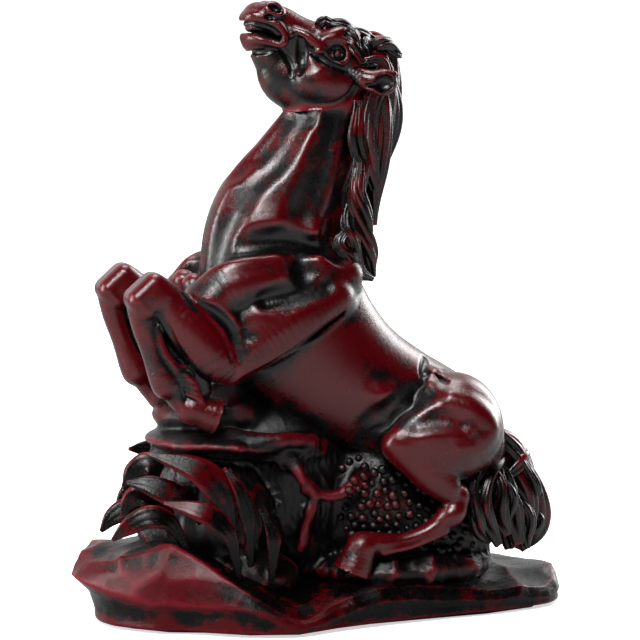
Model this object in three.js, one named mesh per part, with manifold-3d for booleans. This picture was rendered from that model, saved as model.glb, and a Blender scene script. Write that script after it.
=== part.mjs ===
// Zodiac horse figurine in oxblood cast resin: a horse rising off a rock, with reeds in front of it.
// Millimetres, +Z up, origin on the table under the middle of the base.
// The horse faces -X, and its left side, the display side, is towards -Y.
import * as THREE from 'three';
import { mergeVertices } from 'three/addons/utils/BufferGeometryUtils.js';
import { edgeTable, triTable } from 'three/addons/objects/MarchingCubes.js';
import Module from 'manifold-3d';

const wasm = await Module();
wasm.setup();

// Driving dimensions
const SEAM = 0.4; // glue line between two castings
const PAD_THICK = 1.2; // felt under the base
const PAD_INSET = 5; // felt's edge in from the foot of the rock
const LEG_APART = 16; // middle of a foreleg out from the horse's middle plane
const HIND_APART = 20; // the same for a hock
const CHEST_RADIUS = 24; // half the depth of the chest behind the elbow
const LOIN_RADIUS = 17.5; // half the depth of the barrel at the flank
const CROUP_RADIUS = 16.5; // half the depth of the hindquarters
const NECK_RADIUS = 16.8; // half the depth of the neck at its middle
const KNEE_RADIUS = 5.7;
const CANNON_RADIUS = 3.6;
const FETLOCK_RADIUS = 4.4;
const HOOF_RADIUS = 5.2; // at the sole
const HOOF_HEIGHT = 7.5; // coronet to sole, along the hoof's axis
const NECK_SEAM_HEIGHT = 147; // where the head's casting sits on the neck
const NECK_SEAM_SLOPE = 0.12; // rise of that seam towards the mane
const LEDGE_HEIGHT = 55.5; // top of the rock shelf that the front hooves fold onto
const GROUND_HEIGHT = 11; // top of the ground in the middle of the base
const LEAF_THICK = 1.7;

// Rows of up to six numbers, smoothed into more rows by a curve through them
function through(rows, steps) {
  const count = rows.length > 2 ? (rows.length - 1) * steps : 1;
  const curves = [0, 3].map((first) => new THREE.CatmullRomCurve3(
    rows.map((row) => new THREE.Vector3(...[0, 1, 2].map((n) => row[first + n] ?? 1))),
    false,
    'catmullrom',
  ));
  const rowAt = (share) => curves.flatMap((curve) => curve.getPoint(share).toArray());
  return Array.from({ length: count + 1 }, (_, i) => rowAt(i / count));
}

// A field is a function of x, y, z that gives the rough distance to a form, and is negative inside it.
// It carries the box that holds the form.
const boxed = (field, box) => Object.assign(field, { box });
const aroundPoint = ([x, y, z], reach) => new THREE.Box3(
  new THREE.Vector3(x - reach, y - reach, z - reach),
  new THREE.Vector3(x + reach, y + reach, z + reach),
);

// A rounded limb through stations [x, y, z, radius, width across as a share of the radius]
function limb(stations, steps = 4) {
  const rings = through(stations, steps);
  const count = rings.length - 1;
  const box = new THREE.Box3();
  for (const [x, y, z, r, w] of rings) box.union(aroundPoint([x, y, z], r * Math.max(w, 1)));
  return boxed((x, y, z) => {
    let nearest = Infinity;
    for (let i = 0; i < count; i++) {
      const [ax, ay, az, ar, aw] = rings[i];
      const [bx, by, bz, br, bw] = rings[i + 1];
      const squeeze = 2 / (aw + bw);
      const [dx, dy, dz] = [bx - ax, (by - ay) * squeeze, bz - az];
      const [px, py, pz] = [x - ax, (y - ay) * squeeze, z - az];
      const t = Math.min(1, Math.max(0, (px * dx + py * dy + pz * dz) / (dx * dx + dy * dy + dz * dz)));
      const w = aw + (bw - aw) * t;
      const [qx, qy, qz] = [px - t * dx, (py - t * dy) / squeeze / w, pz - t * dz];
      const out = Math.hypot(qx, qy, qz);
      const slope = Math.hypot(qx, qy / w, qz) / Math.max(out, 1e-6) || 1;
      nearest = Math.min(nearest, (out - (ar + (br - ar) * t)) / slope);
    }
    return nearest;
  }, box);
}

// A function that gives a point in the frame of a form, which is tilted up by some degrees in the XZ plane
function tiltedAt([cx, cy, cz], tilt) {
  const c = Math.cos(THREE.MathUtils.degToRad(tilt));
  const s = Math.sin(THREE.MathUtils.degToRad(tilt));
  return (x, y, z) => [(x - cx) * c + (z - cz) * s, y - cy, (z - cz) * c - (x - cx) * s];
}

// A muscle or a stone: a tilted ellipsoid
function lump(centre, [rx, ry, rz], tilt = 0) {
  const local = tiltedAt(centre, tilt);
  return boxed((x, y, z) => {
    const [u, v, w] = local(x, y, z);
    const near = Math.hypot(u / rx, v / ry, w / rz);
    const slope = Math.hypot(u / rx ** 2, v / ry ** 2, w / rz ** 2);
    return slope < 1e-9 ? -Math.min(rx, ry, rz) : (near * (near - 1)) / slope;
  }, aroundPoint(centre, Math.max(rx, ry, rz)));
}

// A blunt joint: a tilted block with rounded edges
function block(centre, halves, rounding, tilt = 0) {
  const local = tiltedAt(centre, tilt);
  return boxed((x, y, z) => {
    const q = local(x, y, z).map((v, axis) => Math.abs(v) - halves[axis] + rounding);
    return Math.hypot(...q.map((v) => Math.max(v, 0))) + Math.min(Math.max(...q), 0) - rounding;
  }, aroundPoint(centre, Math.hypot(...halves)));
}

// Joins forms with a fillet about as wide as `soft`
function melt(soft, ...fields) {
  return boxed((x, y, z) => {
    let all = fields[0](x, y, z);
    for (let n = 1; n < fields.length; n++) {
      const one = fields[n](x, y, z);
      const h = Math.max(soft - Math.abs(all - one), 0) / soft;
      all = Math.min(all, one) - (h * h * soft) / 4;
    }
    return all;
  }, fields.reduce((all, field) => all.union(field.box), new THREE.Box3()));
}

// Takes forms out of a form, with an edge rounded in the same way
function carve(soft, body, ...cuts) {
  const left = melt(soft, boxed((...at) => -body(...at), body.box), ...cuts);
  return boxed((...at) => -left(...at), body.box);
}

// A form and its mirror image in the horse's middle plane
function bothSides(field) {
  const mirrored = field.box.clone();
  [mirrored.min.y, mirrored.max.y] = [-field.box.max.y, -field.box.min.y];
  return boxed((x, y, z) => field(x, Math.abs(y), z), mirrored.union(field.box));
}

// A ridge laid on the side of a form, through marks [x, z, radius, rise]; a rise below 0 makes a groove
function onSide(form, marks) {
  const rows = through(marks, 2);
  const skinAt = rows.map(([x, z]) => {
    let y = form.box.max.y;
    while (y > 0 && form(x, y, z) > 0) y -= 0.1;
    return y;
  });
  return limb(rows.map(([x, z, radius, rise], i) => {
    const next = [Math.max(i - 1, 0), i, Math.min(i + 1, rows.length - 1)].map((n) => skinAt[n]);
    const y = (next[0] + 2 * next[1] + next[2]) / 4;
    return [x, y + rise + (rise > 0 ? -radius : radius), z, radius];
  }), 1);
}

// A closed solid, ready to be joined or cut
function solid(geometry) {
  const bare = geometry.index ? geometry.toNonIndexed() : geometry.clone();
  for (const name of Object.keys(bare.attributes)) if (name !== 'position') bare.deleteAttribute(name);
  const merged = mergeVertices(bare, 1e-4);
  return new wasm.Manifold(new wasm.Mesh({
    numProp: 3,
    vertProperties: merged.attributes.position.array,
    triVerts: new Uint32Array(merged.index.array),
  }));
}

// A solid with every face moved out, as room for a glue line round it
function swollen(made, by) {
  const MOST_STRETCH = 2.5; // how far past `by` a sharp corner may go
  const mesh = made.getMesh();
  const geometry = new THREE.BufferGeometry();
  geometry.setAttribute('position', new THREE.BufferAttribute(mesh.vertProperties.slice(), 3));
  geometry.setIndex(new THREE.BufferAttribute(mesh.triVerts.slice(), 1));
  geometry.computeVertexNormals();
  const { position, normal } = geometry.attributes;
  const closest = new Float32Array(position.count).fill(1);
  const face = new THREE.Triangle();
  const flat = new THREE.Vector3();
  const out = new THREE.Vector3();
  for (let i = 0; i < mesh.triVerts.length; i += 3) {
    const three = mesh.triVerts.slice(i, i + 3);
    face.setFromAttributeAndIndices(position, ...three).getNormal(flat);
    for (const n of three) closest[n] = Math.min(closest[n], flat.dot(out.fromBufferAttribute(normal, n)));
  }
  const at = new THREE.Vector3();
  for (let n = 0; n < position.count; n++) {
    const reach = by * Math.min(MOST_STRETCH, 1 / Math.max(closest[n], 0.01));
    at.fromBufferAttribute(position, n).addScaledVector(out.fromBufferAttribute(normal, n), reach);
    position.setXYZ(n, at.x, at.y, at.z);
  }
  return solid(geometry);
}

// Turns the long edge of each sliver, so that the sliver shares its room with the face beyond that edge. It
// answers false where two walls meet in one edge, or where a wall is folded flat on itself.
function withoutSlivers(faces, position) {
  const LEAST_HEIGHT = 0.03; // mm
  const FLAT_FOLD = -0.998;
  const owner = new Map();
  const own = (n) => faces[n].forEach((a, i) => owner.set(`${a} ${faces[n][(i + 1) % 3]}`, n));
  faces.forEach((_, n) => own(n));
  if (owner.size < faces.length * 3) return false;
  const face = new THREE.Triangle();
  const side = (a, b) => new THREE.Vector3().fromBufferAttribute(position, a)
    .distanceTo(new THREE.Vector3().fromBufferAttribute(position, b));
  const longest = ([a, b, c]) => Math.max(side(a, b), side(b, c), side(c, a));
  const height = (three) => (
    2 * face.setFromAttributeAndIndices(position, ...three).getArea() / longest(three)
  );
  for (let turn = 0; turn < 3; turn++)
    faces.forEach((three, n) => {
      if (height(three) > LEAST_HEIGHT) return;
      const k = [0, 1, 2].find((i) => side(three[i], three[(i + 1) % 3]) === longest(three));
      const [a, b, c] = [three[k], three[(k + 1) % 3], three[(k + 2) % 3]];
      const other = owner.get(`${b} ${a}`);
      const d = faces[other].find((corner) => corner !== a && corner !== b);
      if (owner.has(`${c} ${d}`) || owner.has(`${d} ${c}`)) return;
      if (Math.min(height([a, d, c]), height([d, b, c])) <= height(three)) return;
      owner.delete(`${a} ${b}`);
      owner.delete(`${b} ${a}`);
      [faces[n], faces[other]] = [[a, d, c], [d, b, c]];
      own(n);
      own(other);
    });
  const normals = faces.map((three) => (
    face.setFromAttributeAndIndices(position, ...three).getNormal(new THREE.Vector3())
  ));
  return faces.every((three, n) => three.every((a, i) => (
    normals[n].dot(normals[owner.get(`${three[(i + 1) % 3]} ${a}`)]) > FLAT_FOLD
  )));
}

// Draws the points of a solid onto a fine lattice, so that the slivers along a cut close up
function trued(made) {
  const { vertProperties, triVerts } = made.getMesh();
  for (const lattice of [0.05, 0.04, 0.03, 0.02, 0.01, 0.07]) {
    const geometry = new THREE.BufferGeometry();
    const snapped = vertProperties.map((v) => Math.round(v / lattice) * lattice);
    geometry.setAttribute('position', new THREE.BufferAttribute(snapped, 3));
    geometry.setIndex(new THREE.BufferAttribute(triVerts.slice(), 1));
    const merged = mergeVertices(geometry, lattice / 4);
    const faces = [];
    for (let i = 0; i < merged.index.count; i += 3) {
      const [a, b, c] = merged.index.array.slice(i, i + 3);
      if (a !== b && b !== c && a !== c) faces.push([a, b, c]);
    }
    if (!withoutSlivers(faces, merged.attributes.position)) continue; // two walls met, so another is tried
    try {
      const made = new wasm.Manifold(new wasm.Mesh({
        numProp: 3,
        vertProperties: merged.attributes.position.array,
        triVerts: new Uint32Array(faces.flat()),
      }));
      if (made.decompose().length === 1) return made;
    } catch {
      continue; // the same
    }
  }
  return made;
}

// The largest piece that a cut leaves; crumbs are trimmed off by hand on a real casting
const mainPiece = (cut) => trued(cut.decompose().sort((a, b) => b.volume() - a.volume())[0]);

// Skins a field over a lattice of cells, then draws every point onto the surface
function skin(field, cell) {
  const room = field.box.clone().expandByScalar(cell);
  const [x0, y0, z0] = room.min.toArray();
  const lengths = room.getSize(new THREE.Vector3()).toArray();
  const [nx, ny, nz] = lengths.map((length) => Math.ceil(length / cell) + 1);
  const index = (i, j, k) => i + nx * (j + ny * k);
  const values = new Float64Array(nx * ny * nz);
  const sample = (i, j, k) => field(x0 + i * cell, y0 + j * cell, z0 + k * cell);
  for (let k = 0; k < nz; k++)
    for (let j = 0; j < ny; j++)
      for (let i = 0; i < nx; i++) values[index(i, j, k)] = sample(i, j, k);

  const corners = [[0, 0, 0], [1, 0, 0], [1, 1, 0], [0, 1, 0], [0, 0, 1], [1, 0, 1], [1, 1, 1], [0, 1, 1]];
  const flatEdges = [[0, 1], [1, 2], [3, 2], [0, 3]];
  const topEdges = flatEdges.map((pair) => pair.map((n) => n + 4));
  const edges = [...flatEdges, ...topEdges, ...[0, 1, 2, 3].map((n) => [n, n + 4])];
  const LEAST_SHARE = 0.1; // keeps points off the lattice corners, so that no triangle is a sliver
  const points = [];
  const faces = [];
  const made = new Map();
  const pointOn = (i, j, k, edge) => {
    const [a, b] = edges[edge].map((corner) => corners[corner]);
    const [ia, ib] = [index(i + a[0], j + a[1], k + a[2]), index(i + b[0], j + b[1], k + b[2])];
    const key = ia * 4 + (b[0] - a[0] ? 0 : b[1] - a[1] ? 1 : 2);
    if (!made.has(key)) {
      const crossing = values[ia] / (values[ia] - values[ib]);
      const share = THREE.MathUtils.clamp(crossing, LEAST_SHARE, 1 - LEAST_SHARE);
      made.set(key, points.length);
      const at = [i, j, k].map((n, axis) => n + a[axis] + share * (b[axis] - a[axis]));
      points.push(at.map((n, axis) => room.min.getComponent(axis) + cell * n));
    }
    return made.get(key);
  };
  for (let k = 0; k + 1 < nz; k++)
    for (let j = 0; j + 1 < ny; j++)
      for (let i = 0; i + 1 < nx; i++) {
        let mask = 0;
        corners.forEach(([a, b, c], bit) => {
          if (values[index(i + a, j + b, k + c)] < 0) mask |= 1 << bit;
        });
        if (edgeTable[mask] === 0) continue;
        for (let t = mask * 16; triTable[t] !== -1; t += 3)
          faces.push([0, 2, 1].map((corner) => pointOn(i, j, k, triTable[t + corner])));
      }
  settle(points, faces, field, cell);
  const geometry = new THREE.BufferGeometry();
  geometry.setAttribute('position', new THREE.Float32BufferAttribute(points.flat(), 3));
  geometry.setIndex(faces.flat());
  const skinned = solid(geometry);
  return skinned.volume() < 0 ? solid(flipped(geometry)) : skinned;
}

function flipped(geometry) {
  const turned = geometry.clone();
  const order = turned.index.array;
  for (let i = 0; i < order.length; i += 3) [order[i], order[i + 1]] = [order[i + 1], order[i]];
  return turned;
}

// Evens out the points of a skin and pulls them back onto the zero of its field
function settle(points, faces, field, cell) {
  const ROUNDS = 3;
  const EASE = 0.5;
  const near = points.map(() => new Set());
  for (const [a, b, c] of faces) {
    near[a].add(b).add(c);
    near[b].add(a).add(c);
    near[c].add(a).add(b);
  }
  for (let round = 0; round < ROUNDS; round++) {
    const eased = points.map((p, n) => p.map((v, axis) => {
      let sum = 0;
      for (const m of near[n]) sum += points[m][axis];
      return v + EASE * (sum / near[n].size - v);
    }));
    eased.forEach((p, n) => { points[n] = drawn(p, field, cell); });
  }
}

function drawn([x, y, z], field, cell) {
  const h = 0.05;
  const away = field(x, y, z);
  const g = [
    (field(x + h, y, z) - field(x - h, y, z)) / (2 * h),
    (field(x, y + h, z) - field(x, y - h, z)) / (2 * h),
    (field(x, y, z + h) - field(x, y, z - h)) / (2 * h),
  ];
  const steep = g[0] ** 2 + g[1] ** 2 + g[2] ** 2 || 1;
  const step = THREE.MathUtils.clamp(away / steep, -cell / 3, cell / 3);
  return [x - step * g[0], y - step * g[1], z - step * g[2]];
}

// A closed loft through rings of points, with a fan over each end
function loft(rings) {
  const sides = rings[0].length;
  const points = rings.flat();
  const faces = [];
  for (let i = 0; i + 1 < rings.length; i++)
    for (let j = 0; j < sides; j++) {
      const [a, b] = [i * sides + j, i * sides + ((j + 1) % sides)];
      faces.push(a, b, b + sides, a, b + sides, a + sides);
    }
  [[0, 1, 0], [(rings.length - 1) * sides, 0, 1]].forEach(([first, p, q]) => {
    const middle = points.length;
    const ring = points.slice(first, first + sides);
    points.push(ring.reduce((sum, v) => sum.add(v), new THREE.Vector3()).divideScalar(sides));
    for (let j = 0; j < sides; j++) {
      const pair = [first + j, first + ((j + 1) % sides)];
      faces.push(middle, pair[p], pair[q]);
    }
  });
  const geometry = new THREE.BufferGeometry().setFromPoints(points);
  geometry.setIndex(faces);
  const made = solid(geometry);
  return made.volume() < 0 ? solid(flipped(geometry)) : made;
}

// A section swept along stations [x, y, z, half width, half thickness]; its width lies across `up`
function sweep(stations, section, up, steps = 2) {
  const count = (stations.length - 1) * steps;
  const middles = stations.map(([x, y, z]) => new THREE.Vector3(x, y, z));
  const places = new THREE.CatmullRomCurve3(middles, false, 'catmullrom');
  const rings = through(stations, steps).map(([x, y, z, wide, thick], i) => {
    const along = places.getTangent(i / count);
    const across = new THREE.Vector3().crossVectors(along, up).normalize();
    const out = new THREE.Vector3().crossVectors(across, along).normalize();
    const at = new THREE.Vector3(x, y, z);
    const put = ([u, v]) => at.clone().addScaledVector(across, u * wide).addScaledVector(out, v * thick);
    return section.map(put);
  });
  return loft(rings);
}

const circle = (sides) => Array.from({ length: sides }, (_, i) => [
  Math.cos((2 * Math.PI * i) / sides),
  Math.sin((2 * Math.PI * i) / sides),
]);
// A leaf's section: a roof with a midrib over a shallow keel
const LEAF_SECTION = [[1, 0], [0, 1], [-1, 0], [0, -0.8]];

// Stations written as heights above the seam in the neck: the head and all that hangs from it move with it
const fromSeam = (stations) => stations.map(([x, y, z, ...rest]) => [x, y, z + NECK_SEAM_HEIGHT, ...rest]);
const liftedLump = ([x, y, z], ...rest) => lump([x, y, z + NECK_SEAM_HEIGHT], ...rest);

// The horse's trunk: neck, chest, barrel and hindquarters in one casting
const NECK_TOP = fromSeam([[2, 0, 3, 10.5, 0.8], [1.5, 0, -4, 11.2, 0.8], [-1.8, 0, -12, 13.6, 0.76]]);
const SPINE = [
  ...NECK_TOP,
  [-6, 0, 125, NECK_RADIUS, 0.7],
  [-12.8, 0, 113.5, 19.4, 0.7],
  [-13.5, 0, 101, 21.5, 0.8],
  [-9.5, 0, 85, CHEST_RADIUS, 0.78],
  [-1, 0, 74.5, 22, 0.85],
  [9, 0, 67, 19.4, 0.95],
  [21, 0, 60.5, LOIN_RADIUS, 1],
  [33, 0, 54, CROUP_RADIUS, 1.1],
  [42, 0, 47, 13.5, 1.25],
];
const shoulder = melt(
  1.6,
  limb([[3, 7.5, 98.5, 7.5], [-13, 11.5, 98.6, 8.4], [-28, 13.5, 97, 8.4], [-36, 13, 92, 7.4]]),
  limb([[-1, 11, 92.5, 8], [-14, 14.5, 86, 9.4], [-24, 16.5, 76.5, 7.4], [-28.5, 17.5, 71.5, 4.8]]),
  limb([[-35, 14, 92, 7.4], [-31, 16.5, 80, 7], [-28, 17.5, 72, 4.8]]),
  lump([-21, 13.5, 88], [12, 9.2, 9], 30),
);
const thigh = melt(
  4,
  lump([37, 12, 54], [14, 12.5, 14.5], 40),
  limb([[36, 12.5, 58, 12], [27, 15, 53.4, 10.2], [19.5, 16.8, 50.6, 7.6]]),
  limb([[37, 14, 51, 12], [31.5, 16.5, 43, 8.6], [33.5, 18.5, 37, 6]]),
  lump([18.6, 17.5, 50.4], [6.6, 6.2, 6.2], 30),
);
const trunkMass = melt(1.6, melt(1.8, limb(SPINE), shoulder), thigh);

// A shallow flute down the neck, through marks [station of the spine, degrees round from the throat]
function alongNeck(radius, depth, marks) {
  const PER_STATION = 12;
  const column = through(SPINE, PER_STATION);
  return limb(through(marks, 3).map(([station, degrees]) => {
    const n = Math.round(station * PER_STATION);
    const [x, , z, r, w] = column[n];
    const [above, below] = [column[Math.max(n - 1, 0)], column[n + 1]];
    const front = new THREE.Vector3(below[2] - above[2], 0, above[0] - below[0]).normalize();
    const turn = THREE.MathUtils.degToRad(degrees);
    const out = new THREE.Vector3(front.x * Math.cos(turn) * w, Math.sin(turn), front.z * Math.cos(turn) * w);
    const at = new THREE.Vector3(x, r * w * Math.sin(turn), z).addScaledVector(front, r * Math.cos(turn));
    return [...at.addScaledVector(out.normalize(), radius - depth).toArray(), radius];
  }), 1);
}

const muscleRidges = [
  [
    [-36.6, 97, 1.6, 0.1], [-34.6, 100.2, 2.2, 0.4], [-29, 103.2, 2.6, 0.6],
    [-11.5, 104.2, 2.6, 0.6], [5, 99.5, 1.8, 0],
  ],
  [[-3.4, 90.6, 1.6, 0.1], [-9, 86.8, 2, 0.4], [-17, 80, 2, 0.4], [-28.6, 71.5, 1.2, 0.1]],
  [
    [13.6, 49, 1.8, 0.1], [14.4, 54, 2.4, 0.4], [18.4, 59, 2.8, 0.5],
    [25.5, 63.4, 2.8, 0.4], [31.5, 69.6, 2, 0.1],
  ],
].map((marks) => onSide(trunkMass, marks));
const neckFlutes = [
  alongNeck(6.5, 0.5, [[0.6, 50], [2, 48], [3.2, 44], [4.2, 30], [5, 22]]),
  alongNeck(6.5, 0.1, [[0.8, 96], [2, 94], [3.2, 94], [4.4, 98], [5, 100]]),
  alongNeck(5, 0.2, [[1.2, 128], [2.4, 130], [3.4, 132], [4.4, 136]]),
];
const muscleHollows = [
  [[-20, 93.5, 4, -0.1], [-13, 93.3, 4.2, -0.3], [-6, 93.4, 3.8, -0.1]],
  [[24, 66.2, 3.2, -0.1], [15.6, 60.4, 4, -0.5], [9.8, 55.2, 4, -0.5], [9, 49.5, 3.2, -0.1]],
  [[36, 60.5, 4.5, -0.1], [29, 53, 5, -0.2], [24, 46, 4.5, -0.1]],
].map((marks) => onSide(trunkMass, marks));
const creases = [
  [
    [-40, 92.4, 1.2, -0.4], [-35.4, 89.6, 1.7, -1.3], [-31.6, 85.6, 1.8, -1.6],
    [-30.2, 79.6, 1.4, -0.9], [-30, 76, 0.9, -0.2],
  ],
  [[-37, 101.4, 1.2, -0.2], [-33, 104.8, 1.7, -0.5], [-19, 109, 2.2, -0.6], [-2, 105.8, 1.8, -0.1]],
  [[33.4, 74.6, 0.9, -0.5], [31.4, 71.4, 1.4, -1], [26.4, 67.6, 1.6, -0.6], [21.5, 64.6, 1.4, -0.1]],
  [[17.5, 58.6, 1.2, -0.1], [12.4, 55, 1.8, -0.7], [10.8, 50.6, 1.8, -0.8], [12, 46.5, 1.2, -0.3]],
].map((marks) => onSide(trunkMass, marks));
const breast = [lump([-38.6, 6.5, 96.8], [3.4, 3.2, 3.2]), lump([-36.6, 9.2, 93.4], [3.2, 3, 3.2])];
const muscled = carve(4.5, melt(2.6, trunkMass, ...muscleRidges), ...neckFlutes, ...muscleHollows);
const trunkField = bothSides(carve(1.2, melt(1.2, muscled, ...breast), ...creases));

// The head, with the last of the neck behind the cheek
const neckSeam = new THREE.Plane(new THREE.Vector3(-NECK_SEAM_SLOPE, 0, 1).normalize(), 0);
neckSeam.constant = -NECK_SEAM_HEIGHT * neckSeam.normal.z;
const aboveSeam = (made) => made.trimByPlane(neckSeam.normal.toArray(), SEAM / 2 - neckSeam.constant);
const downwards = neckSeam.normal.clone().negate().toArray();
const belowSeam = (made) => made.trimByPlane(downwards, SEAM / 2 + neckSeam.constant);
const skull = limb(fromSeam([
  [11, 0, 9, 9.5, 0.86],
  [3, 0, 12.4, 9.4, 1],
  [-6.5, 0, 18, 7, 0.95],
  [-13, 0, 22.6, 5.8, 1],
  [-18.3, 0, 24.6, 4.6, 1.1],
]));
const jaw = limb(fromSeam([
  [3, 0, 6, 7, 1.2],
  [-8, 0, 7.2, 8.6, 0.8],
  [-13.5, 0, 12.2, 5.6, 0.9],
  [-19, 0, 17.6, 2.8, 1.5],
]));
const neckStub = limb(fromSeam([[2, 0, 3, 10.5, 0.8], [1, 0, -7, 12, 0.8]]));
const features = [
  liftedLump([-0.8, 6.4, 6.8], [9, 5.6, 6.2], -8), // cheek
  liftedLump([1, 6.6, 19.4], [5.6, 2.8, 2], 24), // brow
  liftedLump([-15.6, 3.6, 26.6], [3.6, 2.4, 2.6], 20), // wing of the nostril
  liftedLump([-20.2, 0, 17.4], [2.8, 3.2, 2.2], -20), // chin
];
// Both lips and the crest of the face, each a rope of clay
const lips = [
  [[-22.6, 0, 24.3, 1.6], [-19.9, 3.9, 25, 1.6], [-15.7, 5.1, 23.8, 1.5], [-12, 6.4, 18.8, 1.3]],
  [[-22.6, 0, 19.8, 1.6], [-15.7, 5, 17.8, 1.4], [-12.2, 6.4, 17.8, 1.2]],
  [[-10.2, 5.2, 21.7, 0.9], [-6.3, 6.9, 20, 1.6], [-1.6, 8.7, 16.6, 1.1]],
].map((stations) => limb(fromSeam(stations), 2));
const mouth = limb(fromSeam([
  [-25.5, 0, 22.1, 1.5, 4.5],
  [-19.5, 0, 22.1, 1.9, 3.1],
  [-15.5, 0, 20.8, 1.6, 4.2],
  [-13.1, 0, 19.2, 0.7, 9],
]));
const eyeSocket = liftedLump([2.7, 10.2, 14.9], [3, 2.4, 2.6], -20);
const nostril = liftedLump([-14.6, 5.9, 27.3], [2, 2, 1.2], -24);
const headMass = melt(1.6, melt(3, skull, jaw, neckStub), ...features);
const headField = bothSides(carve(0.8, melt(0.9, headMass, ...lips), mouth, eyeSocket, nostril));

// Legs. The right foreleg is held a little further forward than the left.
function forelegField(side, ahead) {
  const y = side * LEG_APART;
  const at = (x, out, z, ...rest) => [x - ahead, y + side * out, z, ...rest];
  const forearm = limb([
    at(-31, 1.5, 74, 5.4),
    at(-34.5, 1.5, 79, 7.2),
    at(-42.5, 0, 87.5, 7.3),
    at(-50.5, 0, 94, KNEE_RADIUS),
  ]);
  const knee = block(at(-53.4, 0, 94.8), [KNEE_RADIUS + 0.8, KNEE_RADIUS, KNEE_RADIUS - 0.4], 2.2, 42);
  const cannon = limb([
    at(-55, 0, 93, KNEE_RADIUS - 0.8),
    at(-54.6, 0, 86.5, CANNON_RADIUS),
    at(-51.4, 0, 79, CANNON_RADIUS - 0.4),
    at(-48.2, 0, 71.8, FETLOCK_RADIUS),
    at(-42.6, 0, 64, CANNON_RADIUS + 0.2),
  ]);
  const tuft = limb([
    at(-43.4, 1.6, 76.6, 1.4),
    at(-39.6, 2.6, 74, 2.1),
    at(-37, 2.4, 69.6, 1.5),
    at(-36.6, 2.2, 66.4, 0.6),
  ]);
  const crease = limb([
    at(-51.2, 4.6, 89.4, 0.5),
    at(-48.6, 5.6, 85, 1.7),
    at(-45.8, 5, 80, 1.9),
    at(-42.6, 5, 76.6, 1.2),
  ]);
  return carve(0.9, melt(0.8, melt(1.6, forearm, knee), cannon, tuft), crease);
}

function hindlegField(side) {
  const y = side * HIND_APART;
  return limb([
    [36, y - side * 2, 34, 5],
    [33.5, y, 29.5, 4.6],
    [25, y, 24.8, 3.4],
    [15, y, 21.8, CANNON_RADIUS - 0.6],
    [8.5, y, 20.2, FETLOCK_RADIUS - 0.6],
    [4, y, 18.6, CANNON_RADIUS],
  ]);
}

// A hoof as a lathe: coronet, flared wall and flat sole, placed with its axis along `aim`
function hoof(coronet, aim, scale = 1) {
  const profile = [
    [0, 0],
    [HOOF_RADIUS * 0.74, 0],
    [HOOF_RADIUS * 0.84, 1],
    [HOOF_RADIUS, HOOF_HEIGHT - 0.6],
    [HOOF_RADIUS * 0.96, HOOF_HEIGHT],
    [0, HOOF_HEIGHT],
  ].map(([r, h]) => new THREE.Vector2(r * scale, h * scale));
  const geometry = new THREE.LatheGeometry(profile, 12);
  const axis = new THREE.Vector3(...aim).normalize();
  const turn = new THREE.Quaternion().setFromUnitVectors(new THREE.Vector3(0, 1, 0), axis);
  geometry.applyQuaternion(turn).translate(...coronet);
  return solid(geometry);
}

// The rock: spokes round the base, as [foot x, foot y, lean outwards of the lower ridge, its height,
// step in to the upper ridge, its height, height of the ground inside]
const SHORE = [
  [-16, -36.5, 0.5, 2.8, 2, 5, 8],
  [-2, -31, 0.5, 4.5, 2, 8, 11],
  [11, -27, 1, 7, 2, 10.5, 12.5],
  [30, -22.5, 1, 6, 2, 10, 12.5],
  [50, -18.5, 1, 4.5, 2, 8, 11.5],
  [66, -12, 1.2, 3.8, 1.6, 6.5, 10],
  [72.5, -2, 1, 5, 2, 9, 10.5],
  [72.3, 10, 1.2, 5.6, 2.4, 10.5, 11.5],
  [63, 24, 1.2, 5, 3, 9.5, 11.5],
  [42, 32, 1, 6, 3, 11.5, 13],
  [16, 36, 1, 6, 3, 11.5, 13.5],
  [-10, 36, 1, 7, 3, 13, 15.5],
  [-34, 32, 1.5, 9, 3, 18, 19],
  [-53, 23, 2.5, 11, 3, 21, 22],
  [-64, 10, 6.5, 13, 3, 21, 24],
  [-66, -2.5, 7.52, 14, 3, 19.5, 24.5],
  [-63, -12, 4.5, 12, 4, 20.5, 24],
  [-53.5, -21, 3.5, 9.5, 6, 25.5, 23],
  [-43.5, -25, 3.5, 9, 4, 22, 20],
  [-31, -33, 1.5, 8.5, 2, 13, 15],
];
const BASE_MIDDLE = [-4, 2];

function ringOf(share, lift) {
  const [cx, cy] = BASE_MIDDLE;
  return SHORE.map(([x, y, lean, low, inset, high, floor]) => {
    const out = Math.hypot(x - cx, y - cy);
    const reach = share(out, lean, inset);
    const [dx, dy] = [x - cx, y - cy].map((v) => (v / out) * reach);
    return new THREE.Vector3(cx + dx, cy + dy, lift(low, high, floor));
  });
}

function baseSolid() {
  return loft([
    ringOf((out) => out, () => PAD_THICK),
    ringOf((out, lean) => out + lean * 0.3, (low) => PAD_THICK + (low - PAD_THICK) * 0.6),
    ringOf((out, lean) => out + lean, (low) => low),
    ringOf((out, lean, inset) => out + lean - inset * 0.35, (low, high) => low + (high - low) * 0.5),
    ringOf((out, lean, inset) => out + lean - inset, (low, high) => high),
    ringOf((out) => out * 0.76, (low, high, floor) => floor),
    ringOf((out) => out * 0.5, (low, high, floor) => (floor + GROUND_HEIGHT) / 2),
    ringOf((out) => out * 0.2, () => GROUND_HEIGHT),
  ]);
}

const padSolid = () => loft([0, PAD_THICK].map((height) => ringOf((out) => out - PAD_INSET, () => height)));

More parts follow.
